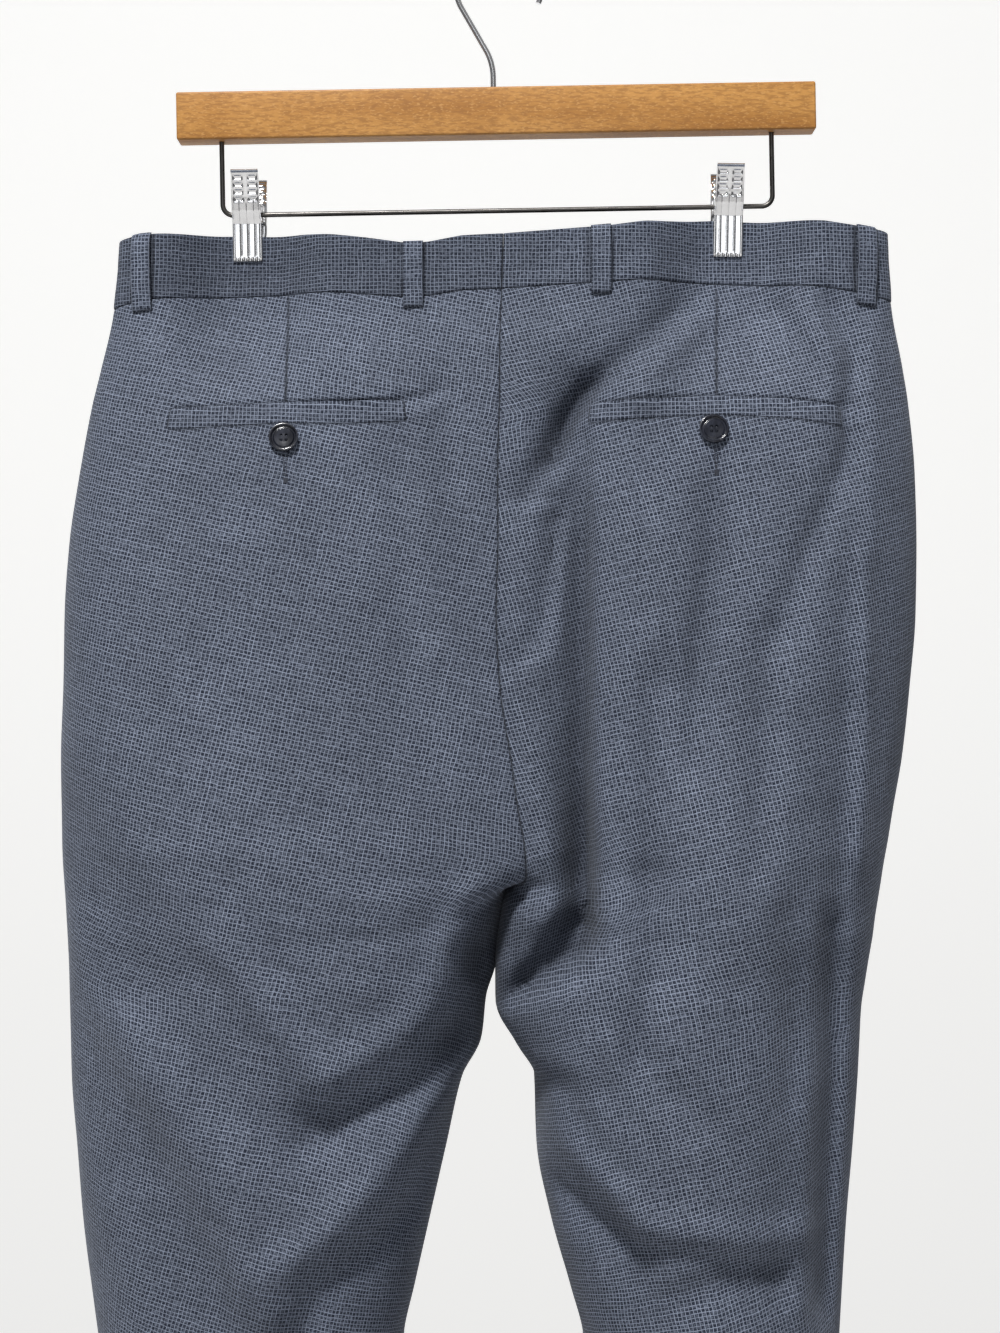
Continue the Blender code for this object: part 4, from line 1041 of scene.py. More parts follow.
def sink_edges(offset: Grid, depths: tuple, top: float = 0.0) -> None:
    """Sink the two sides of a grid of heights, and its upper edge by a share of that.

    Args:
        offset: The heights, changed in place.
        depths: What is added to each column, from the side inwards.
        top: The share of it that goes to each row, from the top down.
    """
    for number, depth in enumerate(depths):
        offset[:, number] += depth
        offset[:, -1 - number] += depth
        offset[number, :] += top * depth


@dataclass
class Panels:
    """The four large panels: two backs and two fronts, from the waist seam to the hem."""

    finishes: Finishes
    seam_columns: tuple = (0.0002, 0.0012, 0.003, 0.006, 0.012)
    back_grain: float = math.radians(13.5)
    front_grain: float = math.radians(2.0)
    grain_x: float = 130.0
    deep_fold: tuple = (36.0, 60.0, 1.5)

    def rows(self, face: Face) -> Grid:
        """Drops of the grid's rows, closest round the pockets and at the hem."""
        top = BAND_HEIGHT + 0.15
        fine, coarse = (2.8, 6.5) if face is Face.BACK else (5.0, 9.0)
        parts = [np.array([top, top + 0.25, top + 0.8, top + 1.8]), np.arange(top + 3, 614, fine),
                 np.arange(614, HEM_DROP - 4, coarse)]
        if face is Face.BACK:
            parts.append(np.arange(92, 119, 0.9))
        parts.append(HEM_DROP - np.array([3.0, 1.2, 0.4, 0.0]))
        drops = np.unique(np.concatenate(parts))
        keep = np.concatenate([[True], np.diff(drops) > 0.2])
        return drops[keep]

    def columns(self, side: Side, face: Face) -> Grid:
        """Turns of the grid's columns, from the side seam inwards."""
        extra = np.array([])
        count = 70
        if face is Face.BACK:
            count = 86
            pocket = next(p for p in POCKETS if p.side is side)
            x = side.value * np.arange(min(np.abs(pocket.dart)) - 7, max(np.abs(pocket.dart)) + 5, 0.75)
            extra = np.abs(DRAPE.turn_at(face, side, x, np.full(x.shape, 70.0)))
            if side is Side.RIGHT:
                x = np.arange(*self.deep_fold)
                extra = np.append(extra, np.abs(DRAPE.turn_at(face, side, x, np.full(x.shape, 250.0))))
        near = np.array(self.seam_columns)
        places = np.concatenate([near, 1 - near, np.linspace(0, 1, count)[1:-1], extra])
        places = np.unique(np.round(places[(places > 0) & (places < 1)], 6))
        return face.value * np.concatenate([[near[0] / 2], places, [1 - near[0] / 2]])

    def build(self, side: Side, face: Face) -> None:
        """Build one panel as a thin shell with turned seam edges and a turned-up hem.

        Args:
            side: The half.
            face: The back or the front.
        """
        turn, drop = np.meshgrid(self.columns(side, face), self.rows(face))
        skin, out = DRAPE.skin(side, turn, drop)
        offset = np.zeros(turn.shape)
        sink_edges(offset, TURNED_EDGE, 0.3)
        # Painted shade: along the turned seam edges, in the pocket mouths, below the welts, along the darts,
        # and in the fold valleys by their depth.
        shade = np.clip(-offset / 1.2, 0, 1)
        if face is Face.BACK:
            shade = np.maximum(shade, self.pocket_shade(skin))
            fold = DRAPE.fold_height(face, skin[..., 0], drop, DRAPE.clip_hold(skin[..., 0], drop))
            shade = np.maximum(shade, 0.6 * smooth_step(-fold, 4, 26))
        outer = skin + out * offset[..., None]
        wall = CLOTH_WALL + 1.1 * smooth_step(drop, HEM_DROP - HEM_DEPTH - 1.5, HEM_DROP - HEM_DEPTH)
        inner = outer - out * np.maximum(wall + 0.5 * np.minimum(offset, 0), 0.5)[..., None]
        grain = self.back_grain if face is Face.BACK else self.front_grain
        weave = weave_map(skin, side.value * self.grain_x, side.value * -grain)
        name = f"{face.word}_{side.word}"
        piece = shell(f"{name}_panel", outer, inner, weave, self.finishes.suiting, shade, out)
        declare_cloth(piece, name)

    def pocket_shade(self, skin: Grid) -> Grid:
        """The shadow in the pocket mouths and the dart seams, for each point of a back panel."""
        x, level = skin[..., 0], WAIST_TOP - skin[..., 2]
        total = np.zeros(x.shape)
        for pocket in POCKETS:
            low, high = pocket.ends
            inside = window(x, low - 0.5, low + 1, high - 1, high + 0.5)
            below = level - pocket.edge(x)
            mouth = groove(below + 0.8, 0.85) * inside * (0.62 + 0.38 * pocket.mouth(x))
            foot = 0.5 * groove(below - pocket.height - 0.4, 0.6) * inside
            run = smooth_step(level, 30, 34) * (1 - smooth_step(below, -1, 0))
            deeper = 0.75 + 0.25 * smooth_step(level, 55, 90)
            dart = groove(x - pocket.dart_at(level), 0.8) * run * deeper
            for part in (mouth, foot, dart):
                total = np.maximum(total, part)
        return total

    def build_all(self) -> None:
        """Build the four panels."""
        for side in Side:
            for face in Face:
                self.build(side, face)


@dataclass
class Waistband:
    """The waistband's two halves, which wrap from the centre back to the fly."""

    finishes: Finishes
    columns: int = 260
    seam_columns: tuple = (0.0001, 0.001, 0.0024, 0.0055)
    drops: tuple = (0, 0.25, 0.8, 1.7, *range(3, 37, 3), 37.6, 38.8, 39.5, 40)
    # roll: how far the outer skin turns in at the two edges, and inner_roll the inner one: drop, height
    roll: tuple = (
        (0, -0.55), (0.25, -0.2), (0.8, 0.05), (1.7, 0), (37.6, 0), (38.8, -0.05), (39.5, -0.2), (40, -0.6),
    )
    inner_roll: tuple = ((0, 0.55), (0.25, 0.2), (0.8, -0.05), (1.7, 0))
    # painted shade over the whole band, where less light falls on it than on the seat, darker to the left:
    # its middle, its swing to either half, and the swing's reach along X
    tone: tuple = (0.17, 0.13, 40)

    def build(self, side: Side) -> None:
        """Build one half, with rolled edges.

        Args:
            side: The half.
        """
        near = np.array(self.seam_columns)
        turns = np.unique(np.concatenate([
            np.linspace(-1, 1, self.columns)[1:-1], -1 + near, 1 - near, np.array((-0.004, 0.004)),
        ]))
        turn, drop = np.meshgrid(turns, np.array(self.drops, float))
        skin, out = DRAPE.skin(side, turn, drop)
        offset = BAND_PROUD + read_table(self.roll, drop)
        sink_edges(offset, BAND_EDGE)
        swell = 0.25 * np.sin(2 * np.pi * skin[..., 0] / 47 + drop / 9) * smooth_step(drop, 6, 20)
        offset += swell * (1 - DRAPE.clip_hold(skin[..., 0], drop)) * (1 - smooth_step(drop, 32, 39))
        outer = skin + out * offset[..., None]
        inner = skin + out * (BAND_PROUD - BAND_WALL + read_table(self.inner_roll, drop))[..., None]
        # Painted shade: in the rolled edges, as a floor over the whole band that is darker on the left half,
        # and beside each belt loop as its cast shadow.
        middle, swing, reach = self.tone
        shade = np.clip(-(offset - BAND_PROUD) / 1.2, middle - swing * np.tanh(skin[..., 0] / reach), 0.8)
        for face, x in LOOPS.values():
            beside = np.abs(np.abs(skin[..., 0] - x) - LOOP_WIDTH / 2 - 0.5)
            shade = np.maximum(shade, 0.9 * groove(beside, 1.3) * (turn * face.value > 0))
        weave = weave_map(skin, side.value * 100.0, 0.0, slice(0, len(turns) // 2))
        name = f"waistband_{side.word}"
        piece = shell(f"{name}_band", outer, inner, weave, self.finishes.suiting, shade, out)
        declare_cloth(piece, name)

    def build_all(self) -> None:
        """Build both halves."""
        for side in Side:
            self.build(side)


@dataclass
class BeltLoops:
    """Six belt loops, each a folded strip that stands off the waistband."""

    finishes: Finishes
    # slack: how far the strip's inner side stands off the cloth, down its length: drop, slack
    slack: tuple = (
        (-0.6, 0.2), (0.4, 1.0), (5, 2.4), (13, 3.0), (28, 2.8), (37, 2.0), (43, 1.3), (45.6, 0.9),
        (46.5, 0.5),
    )
    wall: float = 1.5
    drops: tuple = (-0.6, -0.2, 0.4, 1.2, 2.4, *np.arange(4, 44, 1.6), 44.4, 45.3, 45.9, 46.3, 46.5)
    places: tuple = (-1.0, -0.97, -0.9, -0.75, -0.5, -0.2, 0.2, 0.5, 0.75, 0.9, 0.97, 1.0)

    def build(self, name: str, face: Face, x: float) -> None:
        """Build one loop.

        Args:
            name: Which loop, as its node spells it.
            face: The back or the front.
            x: Its middle, in millimetres.
        """
        side = Side.LEFT if x < 0 else Side.RIGHT
        across, drop = np.meshgrid(self.places, self.drops)
        lean = 0.25 * np.sin(drop / 17 + x)
        at = np.maximum(drop, 0)
        turn = DRAPE.turn_at(face, side, x + lean + across * LOOP_WIDTH / 2, at)
        skin, facing = DRAPE.skin(side, turn, at)
        skin[..., 2] += at - drop
        middle = facing[:, len(self.places) // 2][:, None]
        middle = middle / np.linalg.norm(middle, axis=-1, keepdims=True)
        slack = monotone(*np.transpose(self.slack), drop[:, 0])
        end = smooth_step(drop, 44.6, 46.5) + (1 - smooth_step(drop, -0.6, 1.0))
        edge = np.abs(across) ** 10 * 0.5
        outer = skin + middle * (slack[:, None] + self.wall - edge - 0.7 * end)[..., None]
        inner = skin + middle * (slack[:, None] + 0.45 * edge + 0.15 * end)[..., None]
        weave = weave_map(skin, x, math.radians(0.6) * side.value)
        # Painted shade along both long edges of the loop and under its bottom end.
        shade = np.maximum(0.6 * smooth_step(drop, 45.4, 46.5), 0.7 * np.abs(across) ** 12)
        piece = shell(f"belt_loop_{name}_strip", outer, inner, weave, self.finishes.suiting, shade, facing)
        declare_cloth(piece, f"belt_loop_{name}")

    def build_all(self) -> None:
        """Build the six loops."""
        for name, (face, x) in LOOPS.items():
            self.build(name, face, x)


class Stitches:
    """Short lengths of sewing thread, gathered into one mesh."""

    SIDES = 6
    # rings: places along a stitch, how high each stands and how thick the thread is there
    RINGS = ((0.0, -0.35, 0.55), (0.16, 0.45, 0.95), (0.5, 1.0, 1.0), (0.84, 0.45, 0.95), (1.0, -0.35, 0.55))
    PITCH = 3.0
    LENGTH = 2.3

    def __init__(self, name: str) -> None:
        """Start an empty run of stitches."""
        self.name = name
        self.shape = bmesh.new()

    def stitch(self, start: Grid, end: Grid, out: Grid, thick: float, arch: float) -> None:
        """Add one stitch that dips into the cloth at both ends.

        Args:
            start: Where it comes up, in millimetres.
            end: Where it goes down.
            out: The cloth's outward normal.
            thick: The thread's radius.
            arch: How high its middle stands.
        """
        start, end, out = (Vector(v) for v in (start, end, out))
        along = (end - start).normalized()
        side = along.cross(out).normalized()
        up = side.cross(along)
        rings = []
        for share, rise, slim in self.RINGS:
            middle = start.lerp(end, share) + up * (rise * arch)
            ring = []
            for number in range(self.SIDES):
                angle = 2 * math.pi * number / self.SIDES
                place = middle + (side * math.cos(angle) + up * math.sin(angle)) * thick * slim
                ring.append(self.shape.verts.new(place * MM))
            rings.append(ring)
        for near, far in zip(rings, rings[1:]):
            for a in range(self.SIDES):
                b = (a + 1) % self.SIDES
                self.shape.faces.new((near[a], near[b], far[b], far[a]))
        self.shape.faces.new(rings[0][::-1])
        self.shape.faces.new(rings[-1])

    def row(self, places: Grid, out: Grid) -> None:
        """Add even stitches along a line of places.

        Args:
            places: The line, in millimetres.
            out: The normals at the places.
        """
        run = np.concatenate([[0], np.cumsum(np.linalg.norm(np.diff(places, axis=0), axis=1))])

        def at(distance: float) -> tuple:
            """The place and normal this far along the line."""
            place = [np.interp(distance, run, places[:, k]) for k in range(3)]
            facing = [np.interp(distance, run, out[:, k]) for k in range(3)]
            return np.array(place), np.array(facing)

        for start in np.arange(self.PITCH / 2, run[-1] - self.LENGTH, self.PITCH):
            (low, facing), (high, _) = at(start), at(start + self.LENGTH)
            self.stitch(low, high, facing, 0.2, 0.16)

    def make(self, finish: Material) -> None:
        """Close the run in this thread and ride it on the body."""
        bmesh.ops.recalc_face_normals(self.shape, faces=self.shape.faces)
        mesh = bpy.data.meshes.new(self.name)
        self.shape.to_mesh(mesh)
        self.shape.free()
        mesh.shade_smooth()
        mesh.materials.append(finish)
        ride_hard(put(self.name, mesh), CLOTH_SLOT)


# ------------------------------------------------------------------ hard pieces by hand


class Bench:
    """Blender's modelling tools, used as by hand."""

    @staticmethod
    def clear() -> None:
        """Leave edit mode and deselect everything."""
        if bpy.context.object and bpy.context.object.mode != "OBJECT":
            bpy.ops.object.mode_set(mode="OBJECT")
        bpy.ops.object.select_all(action="DESELECT")

    @staticmethod
    def hold(*pieces: Piece) -> None:
        """Select these alone and work on the first of them."""
        Bench.clear()
        for piece in pieces:
            piece.select_set(True)
        bpy.context.view_layer.objects.active = pieces[0]

    @staticmethod
    def take(name: str, finish: Material) -> Piece:
        """Name the new primitive and give it its material."""
        piece = bpy.context.object
        piece.name = piece.data.name = name
        piece.data.materials.append(finish)
        return piece

    @staticmethod
    def block(name: str, middle: tuple, size: tuple, finish: Material) -> Piece:
        """Saw a square block.

        Args:
            name: The piece's name.
            middle: Its middle, in millimetres.
            size: Its sides, in millimetres.
            finish: Its material.

        Returns:
            The block, with its place and size in its mesh.
        """
        Bench.clear()
        place, sides = [part * MM for part in middle], [side * MM for side in size]
        bpy.ops.mesh.primitive_cube_add(size=1, location=place, scale=sides)
        piece = Bench.take(name, finish)
        bpy.ops.object.transform_apply(location=True, rotation=True, scale=True)
        return piece

    @staticmethod
    def pick(piece: Piece, axis: int, least: float) -> None:
        """Select the faces that look along an axis, in edit mode.

        Args:
            piece: The object in hand.
            axis: 0, 1 or 2 for X, Y or Z.
            least: The normal's least share along it, or its most where that is negative.
        """
        bpy.ops.object.mode_set(mode="EDIT")
        bpy.ops.mesh.select_mode(type="FACE")
        bpy.ops.mesh.select_all(action="DESELECT")
        bpy.ops.object.mode_set(mode="OBJECT")
        for face in piece.data.polygons:
            face.select = face.normal[axis] * math.copysign(1, least) > abs(least)
        bpy.ops.object.mode_set(mode="EDIT")

    @staticmethod
    def apply(piece: Piece, kind: str, **settings: object) -> None:
        """Add a modifier, set it and apply it."""
        Bench.hold(piece)
        step = piece.modifiers.new(kind.lower(), kind)
        for name, value in settings.items():
            setattr(step, name, value)
        bpy.ops.object.modifier_apply(modifier=step.name)

    @staticmethod
    def ease(piece: Piece, width: float, segments: int, angle: float = 30.0) -> None:
        """Round the edges that turn by more than an angle in degrees, by a width in millimetres."""
        Bench.apply(piece, "BEVEL", width=width * MM, segments=segments, limit_method="ANGLE",
                    angle_limit=math.radians(angle))

    @staticmethod
    def drill(piece: Piece, radius: float, depth: float, places: list, turn: tuple = (0, 0, 0)) -> None:
        """Cut round holes.

        Args:
            piece: What is drilled.
            radius: The holes' radius, in millimetres.
            depth: Length of the drill, in millimetres.
            places: The holes' middles, in millimetres.
            turn: The drill's rotation.
        """
        for place in places:
            Bench.clear()
            middle = [part * MM for part in place]
            bpy.ops.mesh.primitive_cylinder_add(
                vertices=20, radius=radius * MM, depth=depth * MM, location=middle, rotation=turn
            )
            bit = bpy.context.object
            Bench.apply(piece, "BOOLEAN", object=bit, operation="DIFFERENCE", solver="EXACT")
            bpy.data.objects.remove(bit)

    @staticmethod
    def bend_wire(name: str, line: list, radius: float, rounds: int, finish: Material) -> Piece:
        """Bend a round wire along a line of points.

        Args:
            name: The piece's name.
            line: Its centre line, in millimetres.
            radius: The wire's radius, in millimetres.
            rounds: How finely it is rounded.
            finish: Its material.

        Returns:
            The wire, as a mesh.
        """
        curve = bpy.data.curves.new(name, "CURVE")
        curve.dimensions = "3D"
        curve.bevel_depth = radius * MM
        curve.bevel_resolution = rounds
        curve.use_fill_caps = True
        path = curve.splines.new("POLY")
        path.points.add(len(line) - 1)
        for place, point in zip(path.points, line):
            place.co = (*(Vector(point) * MM), 1)
        Bench.hold(put(name, curve))
        bpy.ops.object.convert(target="MESH")
        piece = bpy.context.object
        piece.data.materials.clear()
        piece.data.materials.append(finish)
        return piece

    @staticmethod
    def settle(piece: Piece, place: Matrix, angle: float) -> None:
        """Put a piece where it belongs, with its place in its mesh, and smooth it."""
        Bench.hold(piece)
        piece.data.transform(place @ piece.matrix_world)
        piece.matrix_world = Matrix.Identity(4)
        bpy.ops.object.shade_smooth_by_angle(angle=math.radians(angle))

    @staticmethod
    def join(pieces: list, name: str) -> Piece:
        """Join objects into the first of them."""
        Bench.hold(*pieces)
        bpy.ops.object.join()
        pieces[0].name = pieces[0].data.name = name
        return pieces[0]


def ride_hard(piece: Piece, slot: str, *nodes: str) -> None:
    """Ride a hard piece on the body, in the place of its nodes."""
    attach(piece, BODY)
    if nodes:
        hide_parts(*nodes)
    report(piece)


@dataclass
class BackPocket:
    """A welt, its button and its buttonhole."""

    finishes: Finishes
    pocket: WeltPocket
    # insets: how far each ring of the button's face lies inside the last, and how far it rises
    insets: tuple = ((1.0, 0.0), (0.35, -1.15), (0.9, 0.0), (0.45, 0.5), (2.4, -0.3))
    hole_at: float = 1.35
    hole_radius: float = 0.8
    thread: float = 0.2

    def welt(self) -> None:
        """Build the welt as a folded strip whose upper edge stands open."""
        pocket, side = self.pocket, self.pocket.side
        low, high = pocket.ends
        span = high - low
        ends = np.array((0, 0.15, 0.5, 1.2, 2.4)) / span
        places = np.unique(np.concatenate([ends, 1 - ends, np.linspace(0, 1, 64)]))
        parts = np.array((-0.03, 0.0, 0.04, 0.12, 0.25, 0.4, 0.55, 0.7, 0.84, 0.93, 0.975, 1.0))
        across, part = np.meshgrid(places, parts)
        slant = -1.6 * (part - 0.3) * (1 - 2 * across) ** 5
        x = low + across * span + slant
        level = pocket.edge(x) + part * pocket.height
        turn, drop = DRAPE.locate(Face.BACK, side, x, level)
        skin, out = DRAPE.skin(side, turn, drop)
        skin[..., 1] += DRAPE.pocket_relief(x, level)
        standing = 0.55 + 0.5 * (1 - part) + 1.1 * pocket.mouth(x) * (1 - part) ** 2
        edge = np.minimum(across, 1 - across) * span
        sides = 1 - smooth_step(edge, 0, 1.3)
        top = np.interp(part, (-0.03, 0.0, 0.04, 0.12), (0.75, 0.3, 0.08, 0))
        bottom = np.interp(part, (0.84, 0.93, 0.975, 1.0), (0, 0.08, 0.3, 0.6))
        height = standing - (top + bottom) * 0.9 - 0.55 * sides
        outer = skin + out * height[..., None]
        inner = skin + out * np.minimum(height - 0.25, 0.05 + 0.75 * pocket.mouth(x) * (1 - part))[..., None]
        # Painted shade: a little over the whole welt, more along its lower seam and most at its two ends.
        shade = np.maximum(0.08 + 0.5 * smooth_step(part, 0.95, 1.0), 1 - smooth_step(edge, 0.1, 1.2))
        weave = weave_map(skin, pocket.button_x, math.radians(1.5) * -side.value)
        name = f"pocket_welt_{side.word}"
        piece = shell(f"{name}_strip", outer, inner, weave, self.finishes.suiting, shade, out)
        declare_cloth(piece, name)

    def button(self) -> None:
        """Turn a four-hole button with a raised rim and a dished middle."""
        name = f"pocket_button_{self.pocket.side.word}"
        Bench.clear()
        bpy.ops.mesh.primitive_cylinder_add(
            vertices=64, radius=BUTTON_RADIUS * MM, depth=2.0 * MM, location=(0, 0, 1.6 * MM)
        )
        piece = Bench.take(f"{name}_turned", self.finishes.horn)
        Bench.pick(piece, 2, 0.9)
        for inset, rise in self.insets:
            bpy.ops.mesh.inset(thickness=inset * MM, depth=rise * MM)
        Bench.pick(piece, 2, -0.9)
        bpy.ops.mesh.inset(thickness=1.9 * MM, depth=0.45 * MM)
        Bench.clear()
        Bench.ease(piece, 0.2, 3, 20)
        holes = [(a * self.hole_at, b * self.hole_at, 1.4) for a in (-1, 1) for b in (-1, 1)]
        Bench.drill(piece, self.hole_radius, 6, holes)
        Bench.settle(piece, self.seat(), 28)
        ride_hard(piece, "horn", name)

    def seat(self) -> Matrix:
        """Where the button sits: on the highest cloth under it, facing as the cloth does."""
        pocket = self.pocket
        angles = np.linspace(0, 2 * math.pi, 12, endpoint=False)
        x = np.concatenate([[pocket.button_x], pocket.button_x + BUTTON_RADIUS * np.cos(angles)])
        level = np.concatenate([[pocket.button_level], pocket.button_level + BUTTON_RADIUS * np.sin(angles)])
        turn, drop = DRAPE.locate(Face.BACK, pocket.side, x, level)
        under, out = DRAPE.skin(pocket.side, turn, drop)
        normal = out.mean(axis=0)
        normal /= np.linalg.norm(normal)
        rise = max(0.0, float(((under - under[0]) @ normal).max()))
        place = Matrix.Translation(Vector(under[0] + normal * (rise + 0.35)) * MM)
        return place @ Vector(normal).to_track_quat("Z", "Y").to_matrix().to_4x4()

    def on_cloth(self, x: Grid, level: Grid) -> list:
        """Both ends and the normal of each stitch, on the back panel.

        Args:
            x: Places across, one row for each end.
            level: Levels below the waist line, likewise.

        Returns:
            A start, an end and a normal for each stitch.
        """
        turn, drop = DRAPE.locate(Face.BACK, self.pocket.side, x, level)
        points, out = DRAPE.skin(self.pocket.side, turn, drop)
        return list(zip(points[0], points[1], out[0]))

    def sewing(self) -> None:
        """Sew the button on and work its buttonhole below it."""
        pocket = self.pocket
        sewing = Stitches(f"pocket_sewing_{pocket.side.word}")
        seat = self.seat()
        for a in (-1, 1):
            for shift in (-0.16, 0.16):
                x = a * self.hole_at + shift
                ends = [np.array(seat.to_3x3() @ Vector((x, b * 1.5, 1.15))) for b in (-1, 1)]
                base, out = np.array(seat.translation) / MM, np.array(seat.to_3x3().col[2])
                sewing.stitch(base + ends[0], base + ends[1], out, self.thread, 0.35)
        stitches, slit_x, slit_level, slit_half = 46, pocket.button_x + 1.1, pocket.button_level + 11.5, 8.5
        ring = 2 * np.pi * np.arange(stitches) / stitches
        x = slit_x + 0.32 * np.sin(ring)
        level = slit_level - slit_half * np.cos(ring)
        ends = self.on_cloth(
            np.stack([x, x + 1.05 * np.sin(ring)]),
            np.stack([level, level - 0.6 * np.cos(ring) * (np.abs(np.cos(ring)) > 0.8)]),
        )
        for start, end, out in ends:
            if np.linalg.norm(end - start) > 0.3:
                sewing.stitch(start + out * 0.05, end + out * 0.05, out, self.thread, 0.22)
        level = pocket.button_level + 21.5 + 0.42 * np.arange(7)
        x = np.full(level.shape, pocket.button_x + 1.4)
        for start, end, out in self.on_cloth(np.stack([x - 1.3, x + 1.3]), np.stack([level, level])):
            sewing.stitch(start, end, out, 0.22, 0.3)
        sewing.make(self.finishes.thread)

    def build(self) -> None:
        """Build the welt, the button and the sewing."""
        self.welt()
        self.button()
        self.sewing()


@dataclass
class FrontClosure:
    """The fly flap, the waistband's tab and the slanted pocket edges."""

    finishes: Finishes
    # pocket_x: where a pocket's edge starts under the waistband; pocket_slant: its lean to the side seam
    pocket_x: float = 172.0
    pocket_slant: float = 0.26
    pocket_end: float = 212.0

    def across_seam(self, drops: Grid, before: Grid, after: Grid, shares: Grid) -> tuple:
        """Points and normals of a patch over the centre front.

        Args:
            drops: The rows.
            before: Reach to the left of the seam, for each row.
            after: Reach to the right.
            shares: Columns from 0 at the left end to 1 at the right.

        Returns:
            The points and the normals, as rows by columns.
        """
        share, drop = np.meshgrid(shares, drops)
        seam = DRAPE.points(Side.LEFT, np.ones(drops.shape), drops)[:, 0]
        x = seam[:, None] - before[:, None] + share * (before + after)[:, None]
        points, normals = np.empty((*share.shape, 3)), np.empty((*share.shape, 3))
        for side in Side:
            turn = DRAPE.turn_at(Face.FRONT, side, x, drop)
            ours = (x < seam[:, None]) if side is Side.LEFT else (x >= seam[:, None])
            skin, out = DRAPE.skin(side, turn, drop)
            points[ours], normals[ours] = skin[ours], out[ours]
        return points, normals

    def patch(
        self, node: str, points: Grid, normals: Grid, lift: float, thick: float
    ) -> None:
        """Build a patch of cloth with softly rounded edges.

        Args:
            node: The solid that it stands for.
            points: Where it lies on the garment, in millimetres, as rows by columns.
            normals: The outward normals there.
            lift: How far its inner skin stands off.
            thick: Its thickness.
        """
        rows, columns = points.shape[:2]
        edge = np.zeros((rows, columns))
        for number, depth in enumerate((0.55, 0.22, 0.05)):
            edge[number, :] = np.maximum(edge[number, :], depth)
            edge[-1 - number, :] = np.maximum(edge[-1 - number, :], depth)
            edge[:, number] = np.maximum(edge[:, number], depth)
            edge[:, -1 - number] = np.maximum(edge[:, -1 - number], depth)
        outer = points + normals * (lift + thick - edge)[..., None]
        inner = points + normals * lift
        weave = weave_map(points, float(points[0, 0, 0]), 0.0)
        # The edges' rounding depths also serve as painted shade along the patch's rim.
        piece = shell(f"{node}_cloth", outer, inner, weave, self.finishes.suiting, edge, normals)
        declare_cloth(piece, node)

    def fly(self) -> None:
        """Build the fly flap, which curves in to the seam at its foot, and its stitching."""
        top, length = BAND_HEIGHT + 1.0, FLY_LENGTH - 1.0
        shares = np.concatenate([[0, 0.01, 0.03], np.linspace(0.07, 0.93, 16), [0.97, 0.99, 1]])
        run = np.concatenate([np.linspace(0, 0.75, 34), 1 - 0.25 * (1 - np.linspace(0.06, 1, 16)) ** 2])
        drops = top + run * (length - 0.3)
        past = np.clip((drops - BAND_HEIGHT - FLY_LENGTH + 40) / 44, 0, 0.999)
        before = FLY_WIDTH * np.sqrt(1 - past ** 2)
        points, normals = self.across_seam(drops, before, np.full(drops.shape, FLY_OVERLAP), shares)
        self.patch("fly_flap", points, normals, 0.4, 1.0)
        sewing = Stitches("fly_stitching")
        inside = before - 2.4
        line, out = self.across_seam(drops[2:-1], inside[2:-1], np.ones(len(drops) - 3), np.array((0.0, 1.0)))
        sewing.row(line[:, 0] + out[:, 0] * 1.42, out[:, 0])
        sewing.make(self.finishes.thread)

    def tab(self) -> None:
        """Build the waistband's tab over the closure."""
        drops = np.concatenate([[0.2, 0.5, 1.2], np.linspace(3, 37, 14), [38.8, 39.5, 39.8]])
        shares = np.concatenate([[0, 0.006, 0.02], np.linspace(0.06, 0.94, 16), [0.98, 0.994, 1]])
        before, after = np.full(drops.shape, TAB_UNDER), np.full(drops.shape, TAB_LENGTH)
        points, normals = self.across_seam(drops, before, after, shares)
        self.patch("waistband_tab", points, normals, BAND_PROUD + 0.5, 1.6)

    def pocket_edge(self, side: Side) -> None:
        """Build a slanted front pocket's edge and its stitching.

        Args:
            side: The half.
        """
        end = self.pocket_end
        levels = np.concatenate([[43, 43.4, 44.2], np.linspace(47, end - 4, 60), [end - 1.4, end - 0.5, end]])
        inset = np.array((7.0, 6.85, 6.4, 5.2, 3.6, 2.0, 0.8, 0.25, 0.0))
        reach, level = np.meshgrid(inset, levels)
        x = side.value * (self.pocket_x + (level - BAND_HEIGHT) * self.pocket_slant - reach)
        turn, drop = DRAPE.locate(Face.FRONT, side, x, level)
        points, normals = DRAPE.skin(side, turn, drop)
        node = f"front_pocket_{side.word}"
        self.patch(node, points, normals, 0.35, 0.85)
        sewing = Stitches(f"front_pocket_stitching_{side.word}")
        sewing.row(points[2:-2, 3] + normals[2:-2, 3] * 1.22, normals[2:-2, 3])
        for row in (3, -4):
            bar = points[row, 1:-1] + normals[row, 1:-1] * 1.25
            for number in range(6):
                shift = np.array((0, 0, 0.5 * number))
                sewing.stitch(bar[0] + shift, bar[-1] + shift, normals[row, 4], 0.22, 0.3)
        sewing.make(self.finishes.thread)

    def build(self) -> None:
        """Build the closure and the two front pockets."""
        self.fly()
        self.tab()
        for side in Side:
            self.pocket_edge(side)


